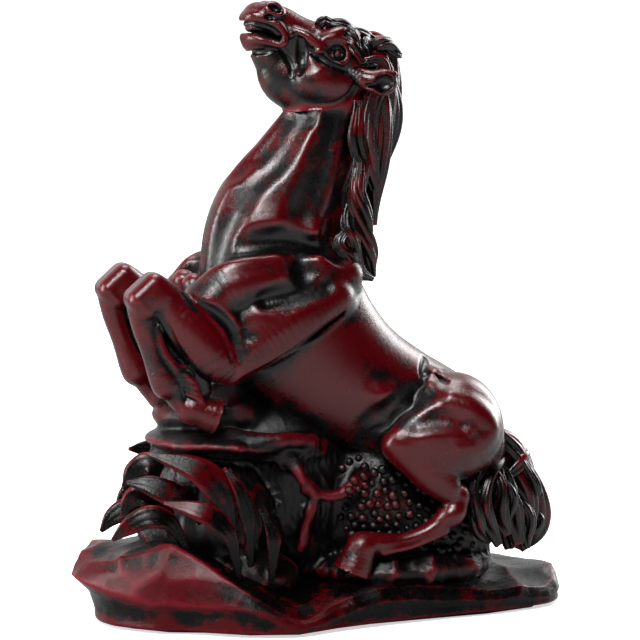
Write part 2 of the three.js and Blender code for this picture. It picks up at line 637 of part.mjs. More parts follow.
const standField = carve(
  2,
  melt(
    3,
    lump([-30, -1, LEDGE_HEIGHT - 4.2], [21.5, 21, 4.6], -3),
    lump([-35, 2, 59], [14, 13, 6]),
    lump([-26, 0, 60], [10, 13, 8], -30),
    lump([-30, 0, 31], [15, 23.5, 18]),
    lump([22, 0, 13.5], [29, 22.5, 8.5]),
    lump([-11, 0, 48], [20, 15.5, 14], -30),
    lump([-8, 0, 34], [18, 15, 22]),
    lump([16, 0, 30], [22, 15.5, 20], -25),
    lump([-38, 0, 28], [16, 17, 14]),
    lump([-41, 0, 39], [12.5, 15, 13]),
    lump([36, 0, 22], [15, 14, 13]),
  ),
  lump([-3, -20, 44], [7, 7, 6]),
  lump([-14, -23, 30], [5.5, 8, 11]),
  lump([0, -20, 25], [9, 7.5, 9]),
  lump([-36, -24, 49], [11, 9, 2.6], -3),
  lump([-10, 21, 40], [11, 8, 10]),
  lump([8, 21, 27], [10, 7, 9]),
);
// Ribs of harder rock between the hollows, as [x, y, z, half width, half thickness]
const RIBS = [
  [
    [-14, -13.5, 49, 2.8, 2.8], [-11, -16.6, 43.6, 1.8, 1.8], [-6.5, -17.2, 37.2, 1.7, 1.7],
    [-8, -16.2, 30, 1.6, 1.6], [-9.6, -14, 21, 2, 2],
  ],
  [[-8, -16.6, 38.6, 1.6, 1.6], [-2, -17.2, 36.4, 1.6, 1.6], [4, -16, 38, 1.9, 1.9], [9, -12, 41, 2.6, 2.6]],
  [[-30, -14, 53.5, 3, 3], [-22, -18, 53, 2.8, 2.8], [-13, -17.4, 53, 2.4, 2.4], [-6, -13.5, 52, 2, 2]],
];
const ribs = () => RIBS.map((stations) => sweep(stations, circle(6), new THREE.Vector3(0, 1, 0)));

// Hair: each lock is a tapered sweep through [x, y, z, half width, half thickness], and the locks of one
// casting are joined. The mane and forelock hang from the head.
const manes = [
  [
    [12, 0, 16, 4.6, 3.4], [18.4, 0, 14.6, 5.4, 3.8], [19.6, 0, 6, 5.4, 3.8],
    [18.4, -0.5, -6, 4.6, 3.4], [17.6, -1.5, -20, 1.6, 1.2],
  ],
  [
    [11, -4, 14, 3, 2.4], [16.8, -5.4, 11, 4, 3], [16, -5.6, -2, 3.6, 2.8],
    [16.4, -4.8, -19, 3, 2.4], [15, -4, -34.5, 1, 1],
  ],
  [
    [9.5, -7.4, 13, 2.2, 2], [15, -8.2, 11, 2.8, 2.4], [13, -8, -1, 3, 2.6],
    [13, -7, -16, 2.8, 2.4], [14.4, -5, -29, 1, 1],
  ],
  [
    [11, 4, 14, 3, 2.4], [16.8, 5.4, 11, 4, 3], [16, 5.6, -2, 3.6, 2.8],
    [16.4, 4.8, -19, 3, 2.4], [15, 4, -33, 1, 1],
  ],
  [
    [12, 0, 3, 3.4, 3.2], [14.6, 0, -11, 4.4, 4], [13.2, 0, -27, 4.4, 4],
    [12.6, 0, -41, 3.4, 3], [13.4, -1, -50, 1.4, 1.4],
  ],
  [
    [10.4, -6.4, -8, 2.4, 2], [9.4, -8, -20, 3.4, 2.8], [8.6, -8.2, -31, 3.4, 2.8],
    [12, -6.6, -43, 2.4, 2.2], [15.6, -4, -48.5, 0.8, 0.8],
  ],
  [
    [7.4, -8, -28, 2.2, 2], [5.4, -9.6, -37, 3, 2.4],
    [8.4, -8.4, -44.6, 2.8, 2.4], [13.6, -6, -50.5, 0.8, 0.8],
  ],
  [[12, 6, 1, 3, 2.4], [11.6, 7.2, -13, 3.4, 2.6], [10, 7.6, -29, 3.4, 2.8], [13, 5.6, -47, 0.8, 0.8]],
].map(fromSeam);
const forelocks = [
  [[15, 0, 16, 4.4, 2.6], [9.5, -0.5, 20.2, 4, 2.4], [4, -1, 22.4, 3, 2], [-1, -1, 23.6, 1.1, 1]],
  [[12, -2, 18.4, 3, 2.2], [7.6, -5.6, 20.6, 2.6, 2], [7, -8.6, 17.8, 2, 1.8], [9.2, -10, 12.4, 0.8, 0.8]],
  [[14, -3, 16, 3, 2.2], [11.4, -7, 17.2, 2.4, 2], [10.8, -9.4, 11.8, 0.8, 0.8]],
  [[12, 2, 18.4, 3, 2.2], [7.6, 5.6, 20.6, 2.6, 2], [7, 8.6, 17.8, 2, 1.8], [9.2, 10, 12.4, 0.8, 0.8]],
  [[14, 3, 16, 3, 2.2], [11.4, 7, 17.2, 2.4, 2], [10.8, 9.4, 11.8, 0.8, 0.8]],
].map(fromSeam);
const tails = [
  [
    [50, 0, 48, 3.6, 3.4], [58, 0.5, 44, 4.4, 3.6], [64, 0, 34, 4.6, 3.8],
    [65, 0.5, 23, 4, 3.4], [61, 1, 15, 1.3, 1.3],
  ],
  [[48, -2, 48, 3, 3], [56, -4.5, 42, 3.6, 3], [60.2, -5.5, 31, 3.8, 3], [61, -6, 16.6, 1.2, 1.2]],
  [[46, -8, 47, 2.6, 2.4], [52.4, -10, 40, 3.2, 2.6], [54.8, -9.5, 30, 3, 2.6], [57.6, -9, 18.6, 1.4, 1.2]],
  [[49, -5, 45, 2.4, 2.4], [51, -12, 37.5, 3, 2.6], [50.4, -13.2, 29, 2.8, 2.4], [52.4, -13, 22, 1.2, 1.2]],
  [[54, -6, 44, 2.2, 2.2], [47.4, -14, 39.4, 2.6, 2.4], [44, -16.8, 30, 2.5, 2.2], [49.4, -15.4, 19.6, 1, 1]],
  [[50, 3, 46, 2.6, 2.6], [56, 6.5, 39, 3.4, 3], [58.5, 8.5, 29, 3.6, 3], [61, 8.5, 14, 1.2, 1.2]],
  [[49, 6, 45, 2.4, 2.4], [51, 12, 37, 3, 2.6], [50, 14, 28, 3, 2.6], [52, 14, 20, 1.4, 1.4]],
  [
    [53, -9, 39, 1.6, 1.6], [57, -4.5, 42.5, 4, 4.6], [58, 0, 43, 4.4, 5],
    [57, 4.5, 42.5, 4, 4.6], [53, 9, 39, 1.6, 1.6],
  ],
];
const hair = (locks, up) => locks
  .map((stations) => sweep(stations, circle(6), up))
  .reduce((all, one) => all.add(one));

// An ear: a round shallow cup with a thick rim, on a short root laid back along the neck
function ear(side) {
  const ellipsoid = ([x, y, z], radii) => solid(
    new THREE.SphereGeometry(1, 8, 5).scale(...radii).translate(x, side * y, z + NECK_SEAM_HEIGHT),
  );
  const laidBack = [[7, 7.4, 9.4, 2, 2], [10.6, 9.6, 7.4, 3, 2.6], [14.4, 11, 6.6, 2.4, 2]];
  const stations = laidBack.map(([x, y, ...rest]) => [x, side * y, ...rest]);
  const root = sweep(fromSeam(stations), circle(6), new THREE.Vector3(0, 1, 0));
  const shell = ellipsoid([15.2, 11.2, 6.4], [4.6, 2.3, 3.9]);
  const cup = ellipsoid([15.4, 13.6, 6.2], [3.3, 2.7, 2.8]);
  return root.add(shell).subtract(cup);
}

// Reeds: broad leaves that spring from the foot of the rock, as [x, y, z, half width] from root to tip
const LEAVES = [
  [
    [-30, -20, 17, 2.4], [-33, -25, 32.5, 3.6], [-36, -26, 40.5, 4],
    [-42, -25.5, 46.8, 3.6], [-55, -21, 51.2, 0.5],
  ],
  [
    [-30, -25, 13, 1.9], [-33.4, -30, 27, 2.6], [-37.5, -30, 33, 2.9],
    [-43, -29, 36, 2.6], [-51.5, -25, 37.8, 0.5],
  ],
  [
    [-26, -22, 13, 1.7], [-27.6, -27, 28, 2], [-28.6, -27.5, 35.5, 2.2],
    [-31, -27, 42, 1.7], [-34.5, -25, 47, 0.5],
  ],
  [[-21, -23.5, 9, 1.6], [-21, -28, 23, 1.9], [-21.4, -28, 29, 1.8], [-24.5, -26, 35, 0.5]],
  [
    [-43, -18, 22, 2.4], [-49, -21.5, 31.5, 3.4], [-55, -22, 33.6, 3.1],
    [-60.6, -21, 31, 2.4], [-65, -19, 27, 0.5],
  ],
  [
    [-37, -16, 27, 2.4], [-42, -19, 35.5, 3.4], [-49, -18.5, 39.6, 3.4],
    [-54.4, -17, 41.8, 2.6], [-60, -15, 42.4, 0.5],
  ],
  [[-42, -8, 33, 2.4], [-47, -9, 42, 3.4], [-52, -9, 46.3, 3.4], [-56, -8, 45, 2.6], [-59.5, -7, 40, 0.5]],
  [
    [-41, -11, 25, 2.4], [-48, -13, 34, 3.4], [-54, -12.5, 38.2, 3.4],
    [-58, -11.5, 36.8, 2.6], [-60.5, -10, 32, 0.5],
  ],
  [
    [-46, -2, 22, 2.4], [-52, -2, 30, 3.1], [-57, -2, 32.6, 3.1],
    [-61.5, -2, 30.6, 2.4], [-65, -2, 26.5, 0.5],
  ],
  [[-42, 7, 32, 2.4], [-46, 7.5, 41, 3.4], [-50, 8, 43.2, 3.4], [-53.5, 8.5, 41.4, 2.6], [-56, 9, 36.5, 0.5]],
  [
    [-35, 13, 22, 2.4], [-44, 15.5, 33.5, 3.4], [-49, 16, 36, 3.4],
    [-53.5, 16, 34, 2.6], [-57, 16, 29.5, 0.5],
  ],
  [[-37, 19, 15, 2.2], [-45, 23, 28, 3.1], [-50.5, 23, 30.5, 2.9], [-57, 21, 27, 0.5]],
  [
    [-30, 18, 17, 2.4], [-34, 24, 33, 3.6], [-38.5, 24.5, 41, 3.6],
    [-45, 23.5, 45.5, 2.9], [-52, 21, 46.5, 0.5],
  ],
  [[-22, 18, 12, 1.9], [-26, 26.5, 29, 2.6], [-29, 27, 36, 2.6], [-34.5, 25, 42, 0.5]],
];
const leaf = (stations) => sweep(
  stations.map(([x, y, z, w]) => [x, y, z, w, (LEAF_THICK / 2) * (0.4 + 0.6 * Math.min(1, w / 2))]),
  LEAF_SECTION,
  new THREE.Vector3(-0.05, -0.9, 0.4),
);

// Assembly
const resin = (hex, roughness) => new THREE.MeshStandardMaterial({ color: hex, roughness, metalness: 0 });
const oxblood = resin(0x4a0f14, 0.32);
const rockRed = resin(0x3d0d11, 0.4);
const leafRed = resin(0x35090d, 0.38);
const hairDark = resin(0x24070a, 0.42);
const hornRed = resin(0x561a1c, 0.35);
const felt = resin(0x15110f, 0.95);

function piece(name, made, material) {
  const mesh = made.getMesh();
  const geometry = new THREE.BufferGeometry();
  geometry.setAttribute('position', new THREE.BufferAttribute(mesh.vertProperties.slice(), 3));
  geometry.setIndex(new THREE.BufferAttribute(mesh.triVerts.slice(), 1));
  geometry.computeBoundingBox();
  const middle = geometry.boundingBox.getCenter(new THREE.Vector3()).round();
  geometry.translate(-middle.x, -middle.y, -middle.z).computeVertexNormals();
  const one = new THREE.Mesh(geometry, material);
  one.name = name;
  one.position.copy(middle);
  return one;
}

const figurine = new THREE.Group();
const horse = new THREE.Group();
const ground = new THREE.Group();
const reeds = new THREE.Group();
figurine.add(horse, ground, reeds);

// Each casting is trimmed back by a seam from the ones fitted before it
const room = [];
function fit(group, name, material, made) {
  group.add(piece(name, mainPiece(room.reduce((left, other) => left.subtract(other), made)), material));
  room.push(swollen(made, SEAM));
}

const TRUNK_CELL = 4.8;
const HEAD_CELL = 2.95;
const LEG_CELL = 3.6;
const STAND_CELL = 7.6;
const BACKWARDS = new THREE.Vector3(1, 0, 0.05);
const UPWARDS = new THREE.Vector3(0, 0.1, 1);

fit(ground, 'rock_base', rockRed, baseSolid());
fit(horse, 'horse_trunk', oxblood, belowSeam(skin(trunkField, TRUNK_CELL)));
fit(horse, 'head', oxblood, aboveSeam(skin(headField, HEAD_CELL)));
for (const [word, side, ahead] of [['left', -1, 0], ['right', 1, 2]]) {
  fit(horse, `${word}_fore_hoof`, hornRed, hoof([-41 - ahead, side * LEG_APART, 62.6], [1, 0, -0.35]));
  fit(horse, `${word}_hind_hoof`, hornRed, hoof([7, side * HIND_APART, 20], [-1, 0, -0.55], 1.2));
  fit(horse, `${word}_foreleg`, oxblood, skin(forelegField(side, ahead), LEG_CELL));
  fit(horse, `${word}_hind_leg`, oxblood, skin(hindlegField(side), LEG_CELL));
}
fit(ground, 'rock_stand', rockRed, ribs().reduce((all, one) => all.add(one), skin(standField, STAND_CELL)));
for (const [word, side] of [['left', -1], ['right', 1]]) fit(horse, `${word}_ear`, oxblood, ear(side));
fit(horse, 'mane', hairDark, hair(manes, BACKWARDS));
fit(horse, 'forelock', hairDark, hair(forelocks, UPWARDS));
fit(horse, 'tail', hairDark, hair(tails, BACKWARDS));
LEAVES.forEach((stations, i) => {
  fit(reeds, `reed_leaf_${String(i + 1).padStart(2, '0')}`, leafRed, leaf(stations));
});
ground.add(piece('felt_pad', padSolid(), felt));

export default figurine;
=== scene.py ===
# %% [markdown]
# # A zodiac horse in oxblood cast resin
# A horse rises off a rock, with reeds at the front of it. Such a figurine is cast from a carved master,
# painted dark, and rubbed back until red shows on the raised places. The real one looks like a single
# casting. The CAD frame divides it along its creases, into head, trunk, legs, hooves, hair, rock and leaves,
# and this lesson dresses each of those pieces with a finer casting that stands in the same place.

# %% Load the frame
import math
from concurrent.futures import ThreadPoolExecutor

import bmesh
import bpy
import numpy as np
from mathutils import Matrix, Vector


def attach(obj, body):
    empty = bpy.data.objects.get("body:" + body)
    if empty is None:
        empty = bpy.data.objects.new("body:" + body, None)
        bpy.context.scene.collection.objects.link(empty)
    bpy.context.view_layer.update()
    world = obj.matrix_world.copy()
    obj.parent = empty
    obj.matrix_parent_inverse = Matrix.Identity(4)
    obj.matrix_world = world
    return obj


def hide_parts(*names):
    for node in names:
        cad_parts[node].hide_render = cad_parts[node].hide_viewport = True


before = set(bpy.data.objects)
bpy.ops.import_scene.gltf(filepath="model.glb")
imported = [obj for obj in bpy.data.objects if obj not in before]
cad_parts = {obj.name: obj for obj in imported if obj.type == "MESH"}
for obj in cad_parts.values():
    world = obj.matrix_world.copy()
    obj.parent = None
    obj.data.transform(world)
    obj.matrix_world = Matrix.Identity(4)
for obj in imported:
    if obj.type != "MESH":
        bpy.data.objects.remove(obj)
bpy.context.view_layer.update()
MM = 0.001

# %% [markdown]
# ## A sculptor's kit
# A carved animal has no flat faces to extrude, so each casting is described as a field: a function that
# gives the rough distance to the surface, negative inside. Muscles and stones are ellipsoids, legs and ribs
# are tapered limbs, and `melt` joins two of them with a fillet, which is what wet clay does. Sculpting is
# done in millimetres, and the finished meshes are written in metres.

# %% Forms
CLEAR = 10.0  # a form is not measured further than this from its own box


class Form:
    """A solid as a distance field, with the box that holds it."""

    def __init__(self, away, low, high):
        self.away = away
        self.low = np.asarray(low, np.float32)
        self.high = np.asarray(high, np.float32)

    def __call__(self, points):
        near = np.all((points > self.low - CLEAR) & (points < self.high + CLEAR), axis=1)
        out = np.full(len(points), CLEAR, np.float32)
        if near.any():
            out[near] = self.away(points[near])
        return out


def through(stations, steps):
    """Points on a Catmull-Rom curve through the stations."""
    rows = np.asarray(stations, np.float32)
    if len(rows) < 3:
        return rows
    padded = np.vstack([2 * rows[0] - rows[1], rows, 2 * rows[-1] - rows[-2]])
    out = []
    for i in range(len(rows) - 1):
        a, b, c, d = padded[i : i + 4]
        for t in np.linspace(0, 1, steps, endpoint=False):
            out.append(0.5 * (2 * b + (c - a) * t + (2 * a - 5 * b + 4 * c - d) * t**2
                              + (3 * b - a - 3 * c + d) * t**3))
    return np.array(out + [rows[-1]], np.float32)


def limb(*stations, steps=4):
    """A rounded limb through [x, y, z, radius, width across as a share of the radius]."""
    rows = through([list(s) + [1.0] * (5 - len(s)) for s in stations], steps)

    def away(p):
        best = np.full(len(p), np.inf, np.float32)
        for a, b in zip(rows[:-1], rows[1:]):
            squeeze = np.float32(2 / (a[4] + b[4]))
            ab = (b[:3] - a[:3]) * (1, squeeze, 1)
            ap = (p - a[:3]) * np.array((1, squeeze, 1), np.float32)
            t = np.clip(ap @ ab.astype(np.float32) / np.float32(ab @ ab), 0, 1)
            width = a[4] + (b[4] - a[4]) * t
            q = ap - t[:, None] * ab.astype(np.float32)
            qy = q[:, 1] / squeeze / width
            flat = q[:, 0] ** 2 + q[:, 2] ** 2
            out = np.sqrt(flat + qy**2)
            slope = np.sqrt(flat + (qy / width) ** 2) / np.maximum(out, 1e-6)
            best = np.minimum(best, (out - (a[3] + (b[3] - a[3]) * t)) / np.maximum(slope, 1e-3))
        return best

    reach = (rows[:, 3] * np.maximum(rows[:, 4], 1))[:, None]
    return Form(away, (rows[:, :3] - reach).min(0), (rows[:, :3] + reach).max(0))


def turned(p, tilt):
    c, s = math.cos(math.radians(tilt)), math.sin(math.radians(tilt))
    return p[:, 0] * c + p[:, 2] * s, p[:, 2] * c - p[:, 0] * s


def lump(centre, radii, tilt=0):
    """An ellipsoid with its X radius tilted up by some degrees in the XZ plane."""
    middle = np.asarray(centre, np.float32)
    rx, ry, rz = radii

    def away(p):
        d = p - middle
        u, v = turned(d, tilt)
        near = np.sqrt((u / rx) ** 2 + (d[:, 1] / ry) ** 2 + (v / rz) ** 2)
        slope = np.sqrt((u / rx**2) ** 2 + (d[:, 1] / ry**2) ** 2 + (v / rz**2) ** 2)
        return np.where(slope < 1e-6, -min(radii), near * (near - 1) / np.maximum(slope, 1e-6))

    reach = max(radii)
    return Form(away, middle - reach, middle + reach)


def block(centre, halves, rounding, tilt=0):
    """A box with rounded edges, tilted like a lump."""
    middle = np.asarray(centre, np.float32)

    def away(p):
        d = p - middle
        u, v = turned(d, tilt)
        q = np.abs(np.stack([u, d[:, 1], v], 1)) - (np.asarray(halves, np.float32) - rounding)
        return np.linalg.norm(np.maximum(q, 0), axis=1) + np.minimum(q.max(1), 0) - rounding

    reach = float(np.linalg.norm(halves))
    return Form(away, middle - reach, middle + reach)


def smooth_min(a, b, soft):
    h = np.maximum(soft - np.abs(a - b), 0) / soft
    return np.minimum(a, b) - h * h * soft / 4


def melt(soft, *forms):
    """Joins forms with a fillet about as wide as `soft`."""

    def away(p):
        all_of_it = forms[0](p)
        for form in forms[1:]:
            all_of_it = smooth_min(all_of_it, form(p), soft)
        return all_of_it

    return Form(away, np.min([f.low for f in forms], 0), np.max([f.high for f in forms], 0))


def carve(soft, body, *cuts):
    """Takes forms out of a body, with edges rounded by about `soft`."""

    def away(p):
        left = body(p)
        for cut in cuts:
            left = -smooth_min(-left, cut(p), soft)
        return left

    return Form(away, body.low, body.high)


def both_sides(form):
    def away(p):
        return form(np.stack([p[:, 0], np.abs(p[:, 1]), p[:, 2]], 1))

    wide = float(max(abs(form.low[1]), abs(form.high[1])))
    return Form(away, (form.low[0], -wide, form.low[2]), (form.high[0], wide, form.high[2]))


PROBE_HEIGHTS = np.linspace(30, 0, 241, dtype=np.float32)


def on_side(form, *marks):
    """A limb laid on a form's side, through marks of (x, z, radius, rise): a rise below 0 makes a groove."""
    rows = through(marks, 4)
    surface = []
    for x, z, _, _ in rows:
        column = np.stack(np.broadcast_arrays(x, PROBE_HEIGHTS, z), 1).astype(np.float32)
        surface.append(PROBE_HEIGHTS[np.argmax(form(column) < 0)])
    surface = np.pad(surface, 2, mode="edge")
    surface = np.convolve(surface, (0.1, 0.2, 0.4, 0.2, 0.1), mode="valid")
    inward = np.where(rows[:, 3] > 0, -rows[:, 2], rows[:, 2])
    stations = np.column_stack([rows[:, 0], surface + rows[:, 3] + inward, rows[:, 1], rows[:, 2]])
    return limb(*stations.tolist(), steps=1)


# %% [markdown]
# ## Clay noise
# Broken stone and hand-modelled resin are never quite smooth. A lattice of random values, blended between
# its corners, gives a gentle noise that can swell or dent a field. It is seeded, so the casting is the same
# each run.

# %% Noise
LATTICE = 32
lattice_values = np.random.default_rng(7).uniform(-1, 1, (LATTICE,) * 3).astype(np.float32)


def noise(points, size, shift=0.0):
    at = points / np.float32(size) + np.float32(shift)
    cell = np.floor(at).astype(np.int32)
    f = at - cell
    f = f * f * (3 - 2 * f)
    out = np.zeros(len(points), np.float32)
    for corner in np.ndindex(2, 2, 2):
        weight = np.prod([f[:, n] if c else 1 - f[:, n] for n, c in enumerate(corner)], axis=0)
        index = (cell + corner) % LATTICE
        out += weight * lattice_values[index[:, 0], index[:, 1], index[:, 2]]
    return out


def wrinkled(form, calm_height, *layers):
    """Works crisp folds into a form, each layer as (depth, size), and fades them towards a height."""

    def away(p):
        out = form(p)
        near = np.abs(out) < 4
        if near.any():
            bold = np.clip((calm_height - p[near, 2]) / 8, 0.25, 1)
            for n, (depth, size) in enumerate(layers):
                out[near] += depth * bold * (2 * np.abs(noise(p[near] * (1, 1, 0.55), size, 3.7 * n)) - 0.5)
        return out

    return Form(away, form.low - 1, form.high + 1)


# %% [markdown]
# ## From a field to a mesh
# The field is read on a grid, but only in the blocks that the surface passes through. Each grid cell that
# the surface crosses gets one point, and each grid edge that it crosses gets one quad. The points are then
# evened out and pulled back onto the surface, which leaves a regular quad mesh that shades without facets.

# %% Polygonise
BLOCK = 8


def read_field(form, points):
    """Reads a field in pieces, on all cores."""
    parts = np.array_split(points.astype(np.float32), max(1, len(points) // 40000))
    with ThreadPoolExecutor(4) as pool:
        return np.concatenate(list(pool.map(form, parts)))


def read_grid(form, low, counts, cell):
    values = np.empty(counts * BLOCK + 1, np.float32)
    middles = np.stack(np.meshgrid(*[np.arange(n) for n in counts], indexing="ij"), -1).reshape(-1, 3)
    far = read_field(form, low + (middles + 0.5) * BLOCK * cell)
    coarse = far.reshape(counts)
    blown = coarse.repeat(BLOCK, 0).repeat(BLOCK, 1).repeat(BLOCK, 2)
    values[...] = np.pad(blown, ((0, 1),) * 3, mode="edge")
    busy = middles[np.abs(far) < BLOCK * cell * 1.25]
    busy = busy[np.lexsort((busy // 4).T)]
    steps = np.stack(np.meshgrid(*[np.arange(BLOCK + 1)] * 3, indexing="ij"), -1).reshape(-1, 3)
    index = (busy[:, None] * BLOCK + steps).reshape(-1, 3)
    values[tuple(index.T)] = read_field(form, low + index * cell)
    return values


def skin(form, low, high, cell):
    """Points and quads of a form's surface between two corners."""
    low = np.asarray(low, np.float64)
    counts = np.ceil((np.asarray(high) - low) / (cell * BLOCK)).astype(int)
    values = read_grid(form, low, counts, cell)
    inside = values < 0
    corners = np.array(list(np.ndindex(2, 2, 2)))
    shape = np.array(inside.shape) - 1

    def at_corner(grid, corner):
        return grid[tuple(slice(c, c + n) for c, n in zip(corner, shape))]

    filled = sum(at_corner(inside, c).astype(np.int8) for c in corners)
    active = (filled > 0) & (filled < 8)
    ids = np.full(active.shape, -1, np.int64)
    cells = np.argwhere(active)
    ids[active] = np.arange(len(cells))
    at = np.stack([values[tuple((cells + c).T)] for c in corners], 1)
    total, count = np.zeros((len(cells), 3)), np.zeros((len(cells), 1))
    for a, first in enumerate(corners):
        for axis in np.flatnonzero(first == 0):
            second = first.copy()
            second[axis] = 1
            b = int(second @ (4, 2, 1))
            crossed = (at[:, a] < 0) != (at[:, b] < 0)
            share = at[crossed, a] / (at[crossed, a] - at[crossed, b])
            total[crossed] += first + share[:, None] * (second - first)
            count[crossed] += 1
    points = low + (cells + total / count) * cell
    quads = []
    for axis in range(3):
        u, v = np.eye(3, dtype=int)[(axis + 1) % 3], np.eye(3, dtype=int)[(axis + 2) % 3]
        step = np.eye(3, dtype=int)[axis]
        lower = inside[tuple(slice(0, -1) if n == axis else slice(1, -1) for n in range(3))]
        upper = inside[tuple(slice(1, None) if n == axis else slice(1, -1) for n in range(3))]
        edge = np.argwhere(lower != upper) + (1 - step)
        ring = np.stack([ids[tuple((edge - move).T)] for move in (0 * u, u, u + v, v)], 1)
        outward = inside[tuple(edge.T)]
        quads.append(np.where(outward[:, None], ring, ring[:, ::-1]))
    return points, np.concatenate(quads)


def around(points, quads):
    """The mean of each point's neighbours, as a function of any values on the points."""
    pairs = np.concatenate([quads, np.roll(quads, -1, axis=1)], axis=0).reshape(2, -1)
    a, b = np.concatenate([pairs[0], pairs[1]]), np.concatenate([pairs[1], pairs[0]])
    share = np.maximum(np.bincount(a, minlength=len(points)), 1)

    def mean(values):
        rows = values.reshape(len(points), -1)
        sums = [np.bincount(a, rows[b, n], len(points)) for n in range(rows.shape[1])]
        return (np.stack(sums, 1) / share[:, None]).reshape(values.shape)

    return mean


def slope_of(form, points, step=0.05):
    """Distance and outward direction of a field at some points."""
    moves = [np.zeros(3)] + [np.eye(3)[n] * step for n in range(3)]
    values = read_field(form, np.concatenate([points + m for m in moves])).reshape(4, -1)
    away = values[0]
    return away, (values[1:] - away).T / step


def settle(form, points, quads, rounds=2):
    mean = around(points, quads)
    for _ in range(rounds):
        points = 0.5 * points + 0.5 * mean(points)
        away, slope = slope_of(form, points)
        steep = np.maximum((slope**2).sum(1), 0.05)
        points = points - np.clip(away / steep, -0.4, 0.4)[:, None] * slope
    return points


def modelled(form, cell, low=None, high=None):
    points, quads = skin(form, form.low - 1 if low is None else low,
                         form.high + 1 if high is None else high, cell)
    points = settle(form, points, quads)
    slope = slope_of(form, points, 0.15)[1]
    normals = slope / np.maximum(np.linalg.norm(slope, axis=1, keepdims=True), 1e-6)
    print("modelled", len(points), "points at", cell, "mm")
    return points, quads, normals


# %% [markdown]
# ## The trunk
# The neck, chest, barrel and hindquarters are one curved column with the shoulder and thigh laid on it as
# separate muscles. They are melted in with a tight fillet, so that a crease stays between them, as on the
# carving. Ropes of muscle are thin limbs on top, and folds are thin limbs taken out.

# %% Trunk
SPINE = [
    (2, 0, 150, 10.5, 0.8), (1.5, 0, 143, 11.2, 0.8), (-1.8, 0, 135, 13.6, 0.76), (-6, 0, 125, 16.8, 0.7),
    (-12.8, 0, 113.5, 19.4, 0.7), (-13.5, 0, 101, 21.5, 0.8), (-9.5, 0, 85, 24, 0.78),
    (-1, 0, 74.5, 22, 0.85), (9, 0, 67, 19.4, 0.95), (21, 0, 60.5, 17.5, 1), (33, 0, 54, 16.5, 1.1),
    (42, 0, 47, 13.5, 1.25),
]
spine = limb(*SPINE, steps=9)
shoulder = melt(
    1.6,
    limb((3, 7.5, 98.5, 7.5), (-13, 11.5, 98.6, 8.4), (-28, 13.5, 97, 8.4), (-36, 13, 92, 7.4), steps=7),
    limb((-1, 11, 92.5, 8), (-13, 14, 87, 9.2), (-22.5, 16.5, 80.5, 6.8), (-27.8, 18, 75.4, 3.6),
         (-29.6, 18.4, 72.2, 1.8), steps=7),
    limb((-35, 14, 92, 7.4), (-31.4, 16, 83, 6.4), (-29.4, 17.5, 76, 3.6)),
    lump((-21, 13.5, 88), (12, 9.2, 9), 30),
)
thigh = melt(
    4,
    lump((37, 12, 54), (14, 12.5, 14.5), 40),
    limb((36, 12.5, 58, 12), (27, 15.5, 53.4, 10), (20.5, 17.2, 51.4, 6.6), steps=7),
    limb((37, 14, 52, 11.5), (29.4, 17, 45.4, 7.8), (31.4, 19.2, 39, 4.4)),
    limb((17.6, 18.6, 51, 3.6), (21.8, 19.6, 45.6, 3.6), (27.2, 20.4, 40.9, 3.4), (31.6, 20.6, 38, 3),
         (34, 20.6, 35, 2.2)),
)


def along_neck(radius, depth, *marks):
    """A shallow channel down the neck: marks are (station of the spine, degrees round from the throat)."""
    fine = through(SPINE, 12)
    way = np.gradient(fine[:, :3], axis=0)
    stations = []
    for station, degrees in through(marks, 3):
        n = int(round(station * 12))
        x, _, z, r, w = fine[n]
        front = np.array((-way[n, 2], 0, way[n, 0]))
        front *= -np.sign(front[0]) / np.linalg.norm(front)
        turn = math.radians(degrees)
        sideways = np.array((0, r * w * math.sin(turn), 0))
        surface = np.array((x, 0, z)) + front * r * math.cos(turn) + sideways
        out = front * math.cos(turn) * w + np.array((0, math.sin(turn), 0))
        stations.append((*(surface + out / np.linalg.norm(out) * (radius - depth)), radius))
    return limb(*stations, steps=1)


masses = melt(1.6, melt(1.8, spine, shoulder), thigh)
muscle_ropes = melt(
    2.0,
    limb((-37.4, 14.6, 96, 1.6), (-34.6, 16, 99.8, 2.2), (-29, 17, 102.6, 2.6), (-21, 16.6, 104, 2.7),
         (-11.5, 15.8, 103.8, 2.6), (-2, 13.4, 102, 2.2), (5, 9.4, 99.6, 1.6), steps=8),
    limb((1, 15.6, 91.6, 1.6), (-7, 18.4, 86.4, 2.2), (-15.4, 20, 80.6, 2.3), (-22.4, 20.4, 76.4, 2),
         (-28.6, 19.2, 72.4, 1.2), steps=8),
    on_side(masses, (16.8, 55.4, 1.8, 0.1), (20.4, 59.6, 2.6, 0.4), (26, 63.6, 2.8, 0.5),
            (31, 69.6, 2, 0.2)),
    on_side(masses, (33, 63.4, 2.4, 0.2), (39, 60.4, 3.2, 0.6), (43.4, 55, 3.2, 0.6), (40, 50.6, 2.6, 0.4),
            (34.6, 49.6, 2, 0.1)),
    lump((14.6, 13.6, 64), (8.6, 6.6, 5.4), -30),
)
